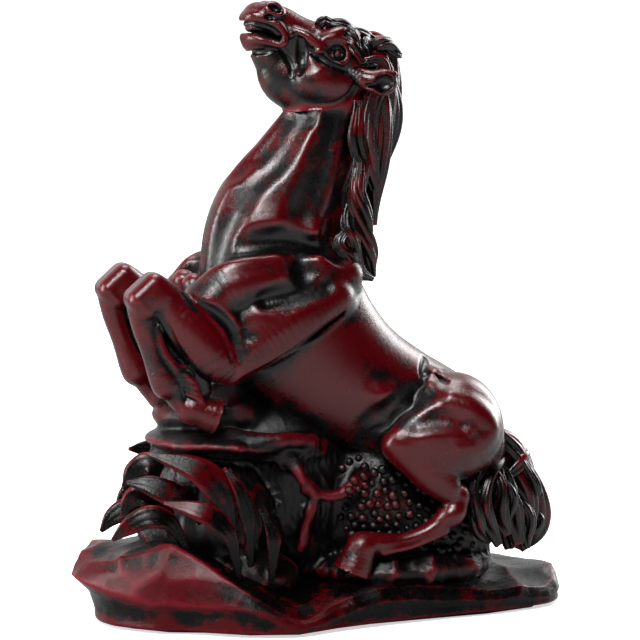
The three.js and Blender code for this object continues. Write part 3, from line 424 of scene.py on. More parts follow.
soft_channels = (
    along_neck(4.4, 1.1, (0.8, 47), (2, 47), (3, 46), (4, 38), (5, 27)),
    along_neck(5, 0.9, (0.8, 92), (2, 92), (3.2, 94), (4.4, 98), (5, 100)),
    along_neck(4.2, 0.8, (1.0, 128), (2.4, 130), (3.4, 132), (4.4, 134)),
    along_neck(3, 0.5, (1.6, 24), (2.6, 26), (3.6, 18)),
    limb((-33, 15, 105.6, 1.6), (-27, 15.6, 108.6, 3.4), (-18, 15.4, 109.6, 3.6), (-9, 14, 108.6, 2.6),
         (-2, 12.4, 106.4, 1.6), steps=6),
    limb((-21, 21.6, 93.4, 2), (-14, 22.6, 95, 3), (-8, 21.8, 96, 2.6), (-3, 20, 96.6, 1.6), steps=6),
    on_side(masses, (24, 66.2, 3.2, -0.1), (15.6, 60.4, 3.6, -0.4), (9.8, 55.2, 3.6, -0.4),
            (9, 49.5, 3.2, -0.1)),
    on_side(masses, (22, 57.6, 2.2, -0.2), (28, 59, 2.8, -0.9), (34.6, 57.6, 2.2, -0.4)),
)
crisp_channels = (
    along_neck(2.4, 0.5, (0.4, 30), (1.0, 42), (1.3, 60)),
    on_side(masses, (-40, 92.4, 1.2, -0.4), (-35.4, 89.6, 1.7, -1.3), (-31.6, 85.6, 1.8, -1.6),
            (-30.4, 80.6, 1.4, -0.9), (-30, 76.5, 0.9, -0.2)),
    on_side(masses, (29.4, 74.4, 0.8, -0.5), (27.2, 71, 1.1, -1.2), (27, 68, 0.9, -0.9),
            (24, 65.4, 1.1, -1.2), (22.6, 62, 1, -1.1), (18.8, 59.6, 1.2, -1.3), (15.4, 56, 1.1, -1.2),
            (12.4, 54, 1.2, -1), (10.8, 49.6, 0.9, -0.4)),
    on_side(masses, (27.2, 70, 0.7, -0.7), (30.4, 69.4, 0.6, -0.5), (32.6, 68.2, 0.4, -0.2)),
    limb((2, 16.4, 88.8, 0.5), (-7, 19.6, 83, 0.9), (-15.6, 21, 77.4, 0.9), (-22.4, 21.4, 73.6, 0.8),
         (-28.4, 20, 70.4, 0.5), steps=6),
)
chest_bumps = melt(1, lump((-38.6, 6.5, 96.8), (3.4, 3.2, 3.2)), lump((-36.6, 9.2, 93.4), (3.2, 3, 3.2)))
muscled = carve(3, melt(2.4, masses, muscle_ropes), *soft_channels)
trunk = both_sides(carve(1.2, melt(1.2, muscled, chest_bumps), *crisp_channels))

# %% [markdown]
# ## The head
# The head is thrown back with the mouth open, so the nose points up and to the left. Lips, nostril and eye
# are rings of clay laid round a hollow, the way a modeller presses a coil round a hole. The eyeball is set
# back inside its ring, and small folds of skin run in to it from the rim.

# %% Head
NECK_SEAM_HEIGHT, NECK_SEAM_SLOPE = 147, 0.12


def ring(centre, along, across, radii, tube, sides=14):
    """A closed coil of clay round a hollow."""
    centre, along, across = (np.asarray(v, float) for v in (centre, along, across))
    turn = np.linspace(0, 2 * np.pi, sides + 1)
    rows = [list(centre + along * radii[0] * math.cos(t) + across * radii[1] * math.sin(t)) + [tube]
            for t in turn]
    return limb(*rows, steps=2)


skull = limb((11, 0, 156, 9.5, 0.86), (3, 0, 159.4, 9.4, 1), (-6.5, 0, 165, 7, 0.95),
             (-13, 0, 169.6, 5.8, 1), (-18.3, 0, 171.6, 4.6, 1.1), steps=7)
jaw = limb((3, 0, 153, 7, 1.2), (-8, 0, 154.2, 8.6, 0.8), (-13.5, 0, 159.2, 5.6, 0.9),
           (-19, 0, 164.6, 2.8, 1.5), steps=7)
neck_stub = limb((2, 0, 150, 10.5, 0.8), (1, 0, 140, 12, 0.8))
eye_at = np.array((2.7, 8.6, 161.9))
head_masses = melt(
    1.6,
    melt(3.0, skull, jaw, neck_stub),
    melt(1.5, lump((-0.8, 6.4, 153.8), (9, 5.6, 6.2), -8),
         limb((-5.4, 7.6, 160.8, 1.0), (-3.2, 7.6, 157, 3.2))),
    lump((1.0, 6.6, 166.4), (5.6, 2.8, 2.0), 24),
    lump((-15.6, 3.6, 173.6), (3.6, 2.4, 2.6), 20),
    lump((-20.2, 0, 164.4), (2.8, 3.2, 2.2), -20),
)
head_ropes = melt(
    0.7,
    ring(eye_at, (0.93, 0.1, -0.36), (0.36, -0.1, 0.93), (3.2, 2.8), 0.95),
    limb((-0.8, 8.4, 164.4, 0.6), (2.4, 8.6, 166.0, 0.9), (5.8, 9.0, 165.2, 0.7)),
    limb((-10.2, 5.2, 168.7, 0.9), (-6.3, 6.9, 167.0, 1.5), (-3.1, 8.1, 164.3, 1.5),
         (-1.6, 8.7, 163.6, 1.0)),
    limb((-21.9, 0, 171.4, 1.9), (-21, 2.4, 171.9, 1.8), (-19.4, 3.9, 172, 1.6), (-15.7, 5.1, 170.8, 1.4),
         (-13.2, 5.9, 169, 1.3), (-11.9, 6.4, 166.7, 1.2), (-12.2, 6.4, 164.8, 1.1)),
    limb((-21.9, 0, 166.2, 1.7), (-20.4, 2.8, 166, 1.6), (-18.4, 4.4, 165.4, 1.4), (-15.7, 5.0, 164.8, 1.3),
         (-13.3, 5.9, 164.1, 1.2), (-12.2, 6.4, 164.8, 1.1)),
    ring((-14.6, 4.9, 174.0), (0.93, 0.1, -0.36), (0.3, -0.5, 0.82), (2.3, 1.5), 0.75),
    lump((-10.1, 6.0, 167.2), (1.3, 1.2, 1.3)),
    lump((-2.6, 8.7, 162.4), (1.7, 1.3, 1.1)),
    lump((2.9, 9.6, 158.0), (1.7, 1.2, 1.2)),
)
head_hollows = (
    limb((-25.5, 0, 169.1, 1.5, 4.5), (-19.5, 0, 169.1, 1.9, 3.1), (-15.5, 0, 167.8, 1.6, 4.2),
         (-13.1, 0, 166.2, 0.7, 9)),
    lump(eye_at + (0, 1.8, 0), (2.5, 3.4, 2.2), -20),
    limb((-20.6, 0, 161.9, 0.6), (-19.6, 3, 162, 0.8), (-16.6, 5.2, 162.4, 0.8), (-14, 5.9, 163, 0.5)),
    lump((-14.6, 5.9, 174.3), (1.8, 2.0, 1.0), -24),
    lump((-16.4, 6.2, 171.9), (1.2, 1.2, 0.8), -10),
    on_side(head_masses, (-12.6, 163.2, 0.8, -0.3), (-11, 161, 1.3, -0.8), (-9.8, 158.4, 1.2, -0.8),
            (-10, 155.6, 0.8, -0.2)),
    on_side(head_masses, (-7.4, 165.2, 1.2, -0.7), (-7, 162, 1.9, -1.6), (-7.4, 158.8, 1.6, -1.2),
            (-8.4, 156.4, 0.9, -0.3)),
    on_side(head_masses, (-4.6, 162.4, 0.9, -0.7), (-2, 160.4, 0.9, -0.7), (1.5, 158.2, 1, -0.7),
            (6, 156.4, 1, -0.8), (8.6, 154.4, 0.8, -0.4)),
    on_side(head_masses, (-5, 146.6, 0.9, -0.1), (2, 147, 1.2, -0.5), (6.4, 149.6, 1.4, -1.0),
            (8.4, 153, 1.1, -0.6)),
)
gums = limb((-21.6, 0, 170.0, 0.9), (-19.4, 2.6, 170.1, 1.1), (-15.5, 4.0, 169.0, 1.1),
            (-13.4, 4.6, 167.2, 0.8))
tongue = limb((-20.6, 0, 168.8, 1.2, 2.4), (-17, 0, 168.5, 1.5, 2.4), (-13, 0, 167, 1.3, 3))
eyeball = lump(eye_at + (0.1, -1.5, -0.3), (1.3, 2.4, 1.8), -30)
eye_folds = [
    limb((*(eye_at + (2.9 * math.cos(t), -0.6, 2.5 * math.sin(t))), 0.5),
         (*(eye_at + (1.5 * math.cos(t + 0.3), -0.9, 1.4 * math.sin(t + 0.3))), 0.35))
    for t in np.linspace(0, 2 * np.pi, 9, endpoint=False)
]
head = both_sides(melt(0.3, carve(0.7, melt(0.9, head_masses, head_ropes), *head_hollows), gums, tongue,
                       eyeball, *eye_folds))

# %% [markdown]
# ## The legs
# The forelegs are folded, with a blunt boxy knee and a hoof tucked back onto the rock. The two sides are
# the same except that the right foreleg is held a little further forward.

# %% Legs
LEG_APART, HIND_APART = 16, 20


def foreleg(side, ahead):
    y = side * LEG_APART

    def at(x, out, z, *rest):
        return (x - ahead, y + side * out, z, *rest)

    forearm = limb(at(-31.4, 1.5, 72.8, 3.8), at(-35.6, 1.5, 77.4, 6.6), at(-41.6, 0.8, 84.6, 6.9),
                   at(-47, 0, 90.8, 6.1), at(-51, 0, 94.4, 5.6))
    knee = block(at(-53.6, 0, 94.8), (6.4, 5.6, 5.1), 3.4, 42)
    cannon = melt(
        1.0,
        limb(at(-55.2, 0, 93, 4.9), at(-55, 0, 86.8, 3.6), at(-52.6, 0, 79.4, 3.3), at(-49.6, 0, 72.4, 4.3),
             at(-48.6, 0, 70, 4.4)),
        limb(at(-48.6, 0, 71.4, 3.8), at(-45.4, 0, 65.4, 2.9), at(-41.6, 0, 61.4, 3.2)),
        limb(at(-51.6, 2.0, 86, 1.0), at(-50.2, 2.4, 80, 1.1), at(-47.4, 2.6, 75.4, 1.4),
             at(-45.8, 2, 72.4, 1.6)),
    )
    web = limb(at(-50.4, -2, 86.4, 1), at(-46.6, -2, 79.4, 2.4), at(-40.8, -2, 74, 4.6),
               at(-38.6, -2, 68, 3.2))
    feather = melt(
        0.5,
        *(limb(at(-46 + 0.5 * n, 2.6, 75 - 1.5 * n, 0.8), at(-43.4 + 0.5 * n, 3.4, 74.4 - 1.6 * n, 0.9),
               at(-41.4 + 0.6 * n, 3.2, 72.6 - 1.7 * n, 0.4))
          for n in range(6)),
    )
    hollows = (
        limb(at(-52.4, 5.4, 90, 0.6), at(-50, 5.4, 86.4, 1.2), at(-48.2, 5, 82, 1.4),
             at(-45.4, 4.6, 77, 1.4), at(-42, 4.4, 73, 1.1), at(-37, 5, 70.4, 0.6)),
        limb(at(-44.6, 3.4, 95.6, 0.4), at(-41.6, 5.8, 92, 1.0), at(-36.6, 7.4, 87, 1.1),
             at(-33, 7.8, 82, 1.0), at(-31.4, 7, 77, 0.5)),
    )
    return carve(0.9, melt(0.8, melt(1.6, forearm, knee), cannon, web, feather), *hollows)


def hindleg(side):
    y = side * HIND_APART
    shank = limb((35.4, y - side, 35, 4), (33.4, y, 30.4, 3.4), (27, y, 25.6, 2.6), (19, y, 23.2, 2.1),
                 (13, y, 22.8, 2.9), (8.6, y, 23, 3.1), (6.6, y, 21, 2.8))
    hock = lump((33.6, y + side * 0.6, 30.4), (4.2, 3.8, 3.4), 35)
    tendon = limb((31, y + side * 1.5, 25.6, 1.3), (22, y + side * 1.4, 22, 1.0),
                  (13, y + side * 1.4, 20.6, 1.4))
    return melt(1.0, melt(1.6, shank, hock), tendon)


def hoof(coronet, aim, scale=1.0):
    """A horn capsule: a coronet band, a wall that flares to the sole, and a flat sole."""
    start, way = np.asarray(coronet, float), np.asarray(aim, float) / np.linalg.norm(aim)
    top, sole = start + way * 0.4, start + way * 7.2 * scale
    wall = limb((*top, 4.0 * scale), (*(start + way * 3.4 * scale), 4.6 * scale), (*sole, 5.3 * scale),
                steps=3)
    band = limb((*(start - way * 0.3), 4.3 * scale), (*(start + way * 0.8), 4.3 * scale))

    def away(p):
        return np.maximum(wall(p), ((p - sole) @ way.astype(np.float32)))

    return melt(0.5, Form(away, wall.low, wall.high), band)


# %% Label the castings of the horse
castings = {"horse_trunk": trunk}
for word, side, ahead in (("left", -1, 0), ("right", 1, 2)):
    castings[f"{word}_fore_hoof"] = hoof((-41 - ahead, side * LEG_APART, 62.6), (1, 0, -0.35))
    castings[f"{word}_hind_hoof"] = hoof((6.8, side * HIND_APART, 21.6), (-0.42, 0, -1), 1.05)
    castings[f"{word}_foreleg"] = foreleg(side, ahead)
    castings[f"{word}_hind_leg"] = hindleg(side)
flesh = melt(0.8, *castings.values())
whole_head = melt(0.8, head, trunk)

# %% [markdown]
# ## The rock
# The stand is a heap of boulders under the belly with hollows worked between them, and harder ribs left
# standing. It is melted, carved, and then wrinkled by folded noise that calms down towards the flat ledge.
# The base is a plinth with broken sides, drawn as rings that follow its foot and climb to the ground.

# %% Stand
LEDGE_HEIGHT = 55.5
stand_masses = melt(
    3,
    lump((-30, -1, LEDGE_HEIGHT - 4.2), (21.5, 21, 4.6), -3),
    lump((-35, 2, 59), (14, 13, 6)),
    lump((-26, 0, 60), (10, 13, 8), -30),
    lump((-30, 0, 31), (15, 23.5, 18)),
    lump((22, 0, 13.5), (29, 22.5, 8.5)),
    lump((-11, 0, 48), (20, 15.5, 14), -30),
    lump((-8, 0, 34), (18, 15, 22)),
    lump((16, 0, 30), (22, 15.5, 20), -25),
    lump((-38, 0, 28), (16, 17, 14)),
    lump((-41, 0, 39), (12.5, 15, 13)),
    lump((36, 0, 22), (15, 14, 13)),
    lump((-27, -14, 14), (16, 11.5, 9)),
)
stand_hollows = (
    lump((-3, -20, 44), (7, 7, 6)),
    lump((-14, -23, 30), (5.5, 8, 11)),
    lump((0, -20, 25), (9, 7.5, 9)),
    lump((-36, -24, 49), (11, 9, 2.6), -3),
    lump((-10, 21, 40), (11, 8, 10)),
    lump((8, 21, 27), (10, 7, 9)),
)
stand_ribs = melt(
    1.5,
    limb((-14, -13.5, 49, 2.6), (-11, -17, 43.6, 1.3), (-6.5, -17.6, 37.2, 1.2), (-8, -16.6, 30, 1.1),
         (-9.6, -14, 21, 1.6), steps=6),
    limb((-8, -17, 38.6, 1.2), (-2, -17.6, 36.4, 1.1), (4, -16.4, 38, 1.6), (9, -12, 41, 2.2), steps=6),
    limb((-30, -14, 53.5, 3), (-22, -18, 53, 2.6), (-13, -17.4, 53, 2.2), (-6, -13.5, 52, 1.8)),
)
smooth_stand = melt(2.4, carve(2, stand_masses, *stand_hollows), stand_ribs)
stand = wrinkled(smooth_stand, 55, (0.9, 11.0), (0.4, 4.6), (0.16, 2.0))

# %% Plinth
PAD_THICK, GROUND_HEIGHT = 1.2, 11
BASE_MIDDLE = np.array((-4.0, 2.0))
# Rows round the foot of the base: x and y of the foot, how far its side leans out, the height where it is
# widest, how far the rim is set back from there, the height of the rim, and of the ground inside it.
SHORE = np.array([
    (-16, -36.5, 0.5, 2.8, 2, 5, 8), (-2, -31, 0.5, 4.5, 2, 8, 11), (11, -27, 1, 7, 2, 10.5, 12.5),
    (30, -22.5, 1, 6, 2, 10, 12.5), (50, -18.5, 1, 4.5, 2, 8, 11.5), (66, -12, 1.2, 3.8, 1.6, 6.5, 10),
    (72.5, -2, 1, 5, 2, 9, 10.5), (72.3, 10, 1.2, 5.6, 2.4, 10.5, 11.5), (63, 24, 1.2, 5, 3, 9.5, 11.5),
    (42, 32, 1, 6, 3, 11.5, 13), (16, 36, 1, 6, 3, 11.5, 13.5), (-10, 36, 1, 7, 3, 13, 15.5),
    (-34, 32, 1.5, 9, 3, 18, 19), (-53, 23, 2.5, 11, 3, 21, 22), (-64, 10, 6.5, 13, 3, 21, 24),
    (-66, -2.5, 7.52, 14, 3, 19.5, 24.5), (-63, -12, 4.5, 12, 4, 20.5, 24),
    (-53.5, -21, 3.5, 9.5, 6, 25.5, 23), (-43.5, -25, 3.5, 9, 4, 22, 20), (-31, -33, 1.5, 8.5, 2, 13, 15),
])
SPOKES = 28


def round_the_shore():
    """The shore rows, rounded between the spokes."""
    ring_rows = np.vstack([SHORE[-2:], SHORE, SHORE[:3]])
    share = np.arange(len(SHORE) * SPOKES) / SPOKES
    smooth = through(ring_rows, SPOKES)[2 * SPOKES : (2 + len(SHORE)) * SPOKES]
    corners = np.arange(len(SHORE) + 1)
    straight = np.array([np.interp(share, corners, np.append(c, c[0])) for c in SHORE.T]).T
    return 0.75 * smooth + 0.25 * straight


def plinth():
    x, y, lean, low, inset, high, floor = round_the_shore().T
    out = np.hypot(x - BASE_MIDDLE[0], y - BASE_MIDDLE[1])
    way = np.stack([(x - BASE_MIDDLE[0]) / out, (y - BASE_MIDDLE[1]) / out], 1)
    levels = [
        (out * 0.4, PAD_THICK + 0 * low), (out - 1.5, PAD_THICK + 0 * low), (out, PAD_THICK + 0 * low),
        (out + lean * 0.3, PAD_THICK + (low - PAD_THICK) * 0.6), (out + lean, low),
        (out + lean - inset * 0.35, low + (high - low) * 0.5), (out + lean - inset, high),
        (out * 0.76, floor), (out * 0.5, (floor + GROUND_HEIGHT) / 2), (out * 0.2, GROUND_HEIGHT + 0 * low),
    ]
    rows = []
    for (reach_a, lift_a), (reach_b, lift_b) in zip(levels[:-1], levels[1:]):
        length = float(np.mean(np.hypot(reach_b - reach_a, lift_b - lift_a)))
        steps = max(2, int(length / 0.6))
        for t in np.linspace(0, 1, steps, endpoint=False):
            reach, lift = reach_a + (reach_b - reach_a) * t, lift_a + (lift_b - lift_a) * t
            rows.append(np.column_stack([BASE_MIDDLE + way * reach[:, None], lift]))
    rows.append(np.column_stack([BASE_MIDDLE + way * levels[-1][0][:, None], levels[-1][1]]))
    return np.array(rows)


def capped_grid(rows):
    """Quads between rings of points, with a fan of triangles over each end."""
    rings, sides = rows.shape[:2]
    points = rows.reshape(-1, 3)
    i, j = np.meshgrid(np.arange(rings - 1), np.arange(sides), indexing="ij")
    a, b = (i * sides + j).ravel(), (i * sides + (j + 1) % sides).ravel()
    quads = np.stack([a, b, b + sides, a + sides], 1)
    middles = np.stack([rows[0].mean(0), rows[-1].mean(0)])
    edge = np.arange(sides)
    low = np.stack([np.full(sides, len(points)), np.roll(edge, -1), edge], 1)
    top = edge + (rings - 1) * sides
    high = np.stack([np.full(sides, len(points) + 1), top, np.roll(top, -1)], 1)
    return np.vstack([points, middles]), [quads, low, high]


# %% [markdown]
# ## Making Blender meshes
# One function turns points and faces into an object. The castings of the horse come from a single skin, so
# the join between two of them never shows. Each casting keeps its own faces and runs a little way under its
# neighbour, sunk below the surface, and the hole that is left inside is closed.

# %% Meshes
def to_object(name, points, face_sets, normals=None):
    mesh = bpy.data.meshes.new(name)
    faces = [face_set.tolist() for face_set in face_sets]
    mesh.from_pydata((points * MM).tolist(), [], [face for group in faces for face in group])
    mesh.polygons.foreach_set("use_smooth", [True] * len(mesh.polygons))
    if normals is not None:
        mesh.normals_split_custom_set_from_vertices(normals.tolist())
    made = bpy.data.objects.new(name, mesh)
    bpy.context.scene.collection.objects.link(made)
    return made


UNDERLAP = (0.0, 0.12, 0.3)  # how deep each ring of faces past the join is sunk, in millimetres


def rim_loops(faces):
    """The open edges of a patch of quads, as loops of points, one round each hole."""
    edges = np.concatenate([faces[:, [n, (n + 1) % 4]] for n in range(4)])
    _, first, count = np.unique(np.sort(edges, 1), axis=0, return_index=True, return_counts=True)
    follow = {}
    for a, b in edges[first[count == 1]].tolist():
        follow.setdefault(b, []).append(a)
    loops = []
    while follow:
        start = next(iter(follow))
        loop, at = [start], start
        while True:
            at = follow[at].pop()
            if not follow[loop[-1]]:
                del follow[loop[-1]]
            if at == start or at not in follow:
                break
            loop.append(at)
        loops.append(loop)
    return loops


def cut_casting(name, points, quads, normals, mine):
    """The faces of one casting, with a sunk border and closed ends."""
    inside = mine.copy()
    depth = np.zeros(len(points))
    touched = np.zeros(len(points), bool)
    touched[quads[mine]] = True
    for sink in UNDERLAP[1:]:
        grown = inside | touched[quads].any(1)
        fresh = np.zeros(len(points), bool)
        fresh[quads[grown]] = True
        depth[fresh & ~touched] = sink
        touched, inside = fresh, grown
    used = np.unique(quads[inside])
    index = np.full(len(points), -1)
    index[used] = np.arange(len(used))
    faces = index[quads[inside]]
    own = points[used] - normals[used] * depth[used, None]
    caps, hubs = [], []
    for loop in rim_loops(faces):
        hub = len(own) + len(hubs)
        hubs.append(own[loop].mean(0) - normals[used][loop].mean(0) * 0.5)
        caps += [(hub, a, b) for a, b in zip(loop, loop[1:] + loop[:1])]
    all_points = np.vstack([own, *hubs])
    all_normals = np.vstack([normals[used], np.tile((0, 0, 1.0), (len(hubs), 1))])
    return to_object(name, all_points, [faces, np.array(caps, int)], all_normals)


# %% Horse castings
BODY_CELL, HEAD_CELL, EAR_CELL = 0.6, 0.34, 0.3  # the grid's pitch, in millimetres
pieces = {}
points, quads, normals = modelled(flesh, BODY_CELL, low=(-76, -34, 10), high=(64, 34, 156))
middle = points[quads].mean(1)
nearest = np.stack([read_field(form, middle) for form in castings.values()])
label = nearest.argmin(0)
below_seam = middle[:, 2] < NECK_SEAM_HEIGHT + NECK_SEAM_SLOPE * middle[:, 0]
for n, name in enumerate(castings):
    mine = (label == n) & below_seam
    pieces[name] = cut_casting(name + "_casting", points, quads, normals, mine)
points, quads, normals = modelled(whole_head, HEAD_CELL, low=(-28, -15, 143), high=(24, 15, 180))
middle = points[quads].mean(1)
above = middle[:, 2] >= NECK_SEAM_HEIGHT + NECK_SEAM_SLOPE * middle[:, 0]
pieces["head"] = cut_casting("head_casting", points, quads, normals, above)
for name, made in pieces.items():
    print(name, len(made.data.polygons), "faces")

# %% Rock castings
points, quads, normals = modelled(stand, BODY_CELL, low=(-60, -29, 4), high=(56, 29, 74))
pieces["rock_stand"] = cut_casting("rock_stand_casting", points, quads, normals, np.ones(len(quads), bool))
rows = plinth()
flat = rows.reshape(-1, 3)
lift = np.clip((flat[:, 2] - PAD_THICK) / 3, 0, 1)
way = np.column_stack([flat[:, :2] - BASE_MIDDLE, np.zeros(len(flat))])
way /= np.maximum(np.linalg.norm(way, axis=1, keepdims=True), 1e-6)
broken = 0.6 - 2.2 * np.abs(noise(flat, 13.0, 1.3))
chips = broken + 0.5 * noise(flat, 5.5, 2.1) + 0.12 * noise(flat, 1.8, 5.0)
ground = np.clip((np.hypot(*(flat[:, :2] - BASE_MIDDLE).T) / 30), 0, 1)
flat = flat + (way * 0.6 + (0, 0, 0.6)) * (chips * lift * ground)[:, None] - way * 0.5 * lift[:, None]
base_points, base_faces = capped_grid(flat.reshape(rows.shape))
pieces["rock_base"] = to_object("rock_base_casting", base_points, base_faces)
print("rock_base", len(pieces["rock_base"].data.polygons), "faces")

# %% [markdown]
# ## Ears
# An ear is a pointed cup laid back along the neck. It is modelled like the head, on a finer grid.

# %% Ears
def ear(side):
    root = limb((7, side * 7.4, 156.4, 2.0), (10.6, side * 9.6, 154.4, 3.0),
                (13.4, side * 10.8, 153.6, 3.0))
    shell = lump((15.2, side * 11.2, 153.4), (4.6, 2.3, 3.9), 8)
    tip = limb((16, side * 11.6, 155.4, 1.6), (18.8, side * 11.6, 156, 0.7))
    cup = lump((15.4, side * 13.6, 153.2), (3.2, 2.7, 2.7), 8)
    mouth = limb((10.4, side * 12.4, 152.6, 0.6), (12.8, side * 12.6, 152.8, 1.1))
    return carve(0.6, melt(1.2, root, shell, tip), cup, mouth)


for word, side in (("left", -1), ("right", 1)):
    points, quads, normals = modelled(ear(side), EAR_CELL)
    pieces[f"{word}_ear"] = to_object(f"{word}_ear_casting", points, [quads], normals)

# %% [markdown]
# ## A node helper
# A node tree written out call by call is hard to read. `Wires` adds a node, sets its values and joins its
# sockets in one line, for geometry trees and shader trees alike.

# %% Wires
class Wires:
    def __init__(self, tree):
        self.tree = tree

    def put(self, socket, value):
        if isinstance(value, bpy.types.NodeSocket):
            self.tree.links.new(value, socket)
        elif value is not None:
            socket.default_value = value

    def add(self, kind, inputs=None, **settings):
        node = self.tree.nodes.new(kind)
        for name, value in settings.items():
            setattr(node, name, value)
        for name, value in (inputs or {}).items():
            self.put(node.inputs[name], value)
        return node

    def math(self, operation, *values):
        node = self.add("ShaderNodeMath", operation=operation)
        for socket, value in zip(node.inputs, values):
            self.put(socket, value)
        return node.outputs[0]

    def vector(self, operation, *values, scale=None):
        node = self.add("ShaderNodeVectorMath", operation=operation)
        for socket, value in zip(node.inputs, values):
            self.put(socket, value)
        if scale is not None:
            self.put(node.inputs["Scale"], scale)
        return node.outputs["Value" if operation in ("DOT_PRODUCT", "LENGTH") else "Vector"]

    def named(self, name, kind="FLOAT"):
        return self.add("GeometryNodeInputNamedAttribute", {"Name": name},
                        data_type=kind).outputs["Attribute"]

    def captured(self, geometry, items):
        node = self.add("GeometryNodeCaptureAttribute", domain="POINT")
        for kind, name, _ in items:
            node.capture_items.new(kind, name)
        self.put(node.inputs["Geometry"], geometry)
        for _, name, value in items:
            self.put(node.inputs[name], value)
        return node.outputs["Geometry"], [node.outputs[name] for _, name, _ in items]


# %% [markdown]
# ## Hair and reeds
# A lock of hair and a reed leaf are both a section swept along a path, wide in one direction and thin in
# the other. Geometry Nodes suits this: the paths carry their own width, thickness and sideways direction,
# and one tree sweeps all of them. The lock's section is fluted into strands that twist along it, and the
# leaf's section has a midrib between two channels.

# %% Sweep tree
def sweep_tree(name, section):
    """A tree that sweeps `section`, a function from the wires and the angle to two offsets."""
    tree = bpy.data.node_groups.new(name, "GeometryNodeTree")
    tree.is_modifier = True
    wires = Wires(tree)
    sockets = {}
    for label, kind, value in (
        ("Geometry", "NodeSocketGeometry", None),
        ("Material", "NodeSocketMaterial", None),
        ("Rings", "NodeSocketInt", 40),
        ("Sides", "NodeSocketInt", 20),
        ("Ridges", "NodeSocketFloat", 5.0),
        ("Depth", "NodeSocketFloat", 0.2),
        ("Twist", "NodeSocketFloat", 0.5),
    ):
        socket = tree.interface.new_socket(name=label, in_out="INPUT", socket_type=kind)
        if value is not None:
            socket.default_value = value
        sockets[label] = socket.identifier
    tree.interface.new_socket(name="Geometry", in_out="OUTPUT", socket_type="NodeSocketGeometry")
    given = wires.add("NodeGroupInput").outputs
    path = wires.add("GeometryNodeMeshToCurve", {"Mesh": given["Geometry"]}).outputs["Curve"]
    path = wires.add("GeometryNodeResampleCurve", {"Curve": path, "Count": given["Rings"]}).outputs["Curve"]
    along = wires.add("GeometryNodeSplineParameter").outputs["Factor"]
    path, (centre, way, across, wide, thick, done) = wires.captured(path, [
        ("VECTOR", "Centre", wires.add("GeometryNodeInputPosition").outputs[0]),
        ("VECTOR", "Way", wires.add("GeometryNodeInputTangent").outputs[0]),
        ("VECTOR", "Across", wires.named("across", "FLOAT_VECTOR")),
        ("FLOAT", "Wide", wires.named("half_width")),
        ("FLOAT", "Thick", wires.named("half_thick")),
        ("FLOAT", "Done", along),
    ])
    circle = wires.add("GeometryNodeCurvePrimitiveCircle",
                       {"Resolution": given["Sides"], "Radius": 0.0005}).outputs["Curve"]
    share_round = wires.add("GeometryNodeSplineParameter").outputs["Factor"]
    circle, (turn,) = wires.captured(circle, [("FLOAT", "Turn", share_round)])
    swept = wires.add("GeometryNodeCurveToMesh", {"Curve": path, "Profile Curve": circle,
                                                  "Fill Caps": True}).outputs["Mesh"]
    angle = wires.math("MULTIPLY", turn, 2 * math.pi)
    u, v = section(wires, angle, done, given)
    out = wires.vector("NORMALIZE", wires.vector("CROSS_PRODUCT", across, way))
    side = wires.vector("NORMALIZE", wires.vector("CROSS_PRODUCT", way, out))
    moved = wires.vector("ADD", centre, wires.vector("SCALE", side, scale=wires.math("MULTIPLY", u, wide)))
    moved = wires.vector("ADD", moved, wires.vector("SCALE", out, scale=wires.math("MULTIPLY", v, thick)))
    placed = wires.add("GeometryNodeSetPosition", {"Geometry": swept,
                                                   "Position": moved}).outputs["Geometry"]
    smooth = wires.add("GeometryNodeSetShadeSmooth", {"Geometry": placed}).outputs["Geometry"]
    real = wires.add("GeometryNodeRealizeInstances", {"Geometry": smooth}).outputs["Geometry"]
    finished = wires.add("GeometryNodeSetMaterial", {"Geometry": real,
                                                     "Material": given["Material"]}).outputs["Geometry"]
    wires.put(wires.add("NodeGroupOutput").inputs["Geometry"], finished)
    return tree, sockets


def fluted(wires, angle, done, given):
    """A round section cut into strands: rounded ridges with sharp grooves between."""
    turned_by = wires.math("MULTIPLY", wires.math("MULTIPLY", done, given["Twist"]), 2 * math.pi)
    phase = wires.math("ADD", wires.math("MULTIPLY", angle, given["Ridges"]), turned_by)
    ridge = wires.math("ABSOLUTE", wires.math("SINE", wires.math("MULTIPLY", phase, 0.5)))
    radius = wires.math("ADD", wires.math("SUBTRACT", 1.0, given["Depth"]),
                        wires.math("MULTIPLY", ridge, given["Depth"]))
    sideways = wires.math("MULTIPLY", wires.math("COSINE", angle), radius)
    return sideways, wires.math("MULTIPLY", wires.math("SINE", angle), radius)


def bladed(wires, angle, done, given):
    """A leaf's section: raised edges, two channels and a midrib on top, and a plain curve below."""
    u, v = wires.math("COSINE", angle), wires.math("SINE", angle)
    midrib = wires.math("POWER", 2.718, wires.math("MULTIPLY", wires.math("MULTIPLY", u, u), -40.0))
    channel = wires.math("MULTIPLY", wires.math("COSINE", wires.math("MULTIPLY", u, given["Ridges"])),
                         given["Depth"])
    top = wires.math("MULTIPLY", wires.math("MAXIMUM", v, 0.0),
                     wires.math("SUBTRACT", wires.math("MULTIPLY", midrib, 0.35), channel))
    return u, wires.math("ADD", v, top)


hair_tree, hair_inputs = sweep_tree("Fluted lock", fluted)
leaf_tree, leaf_inputs = sweep_tree("Reed leaf", bladed)


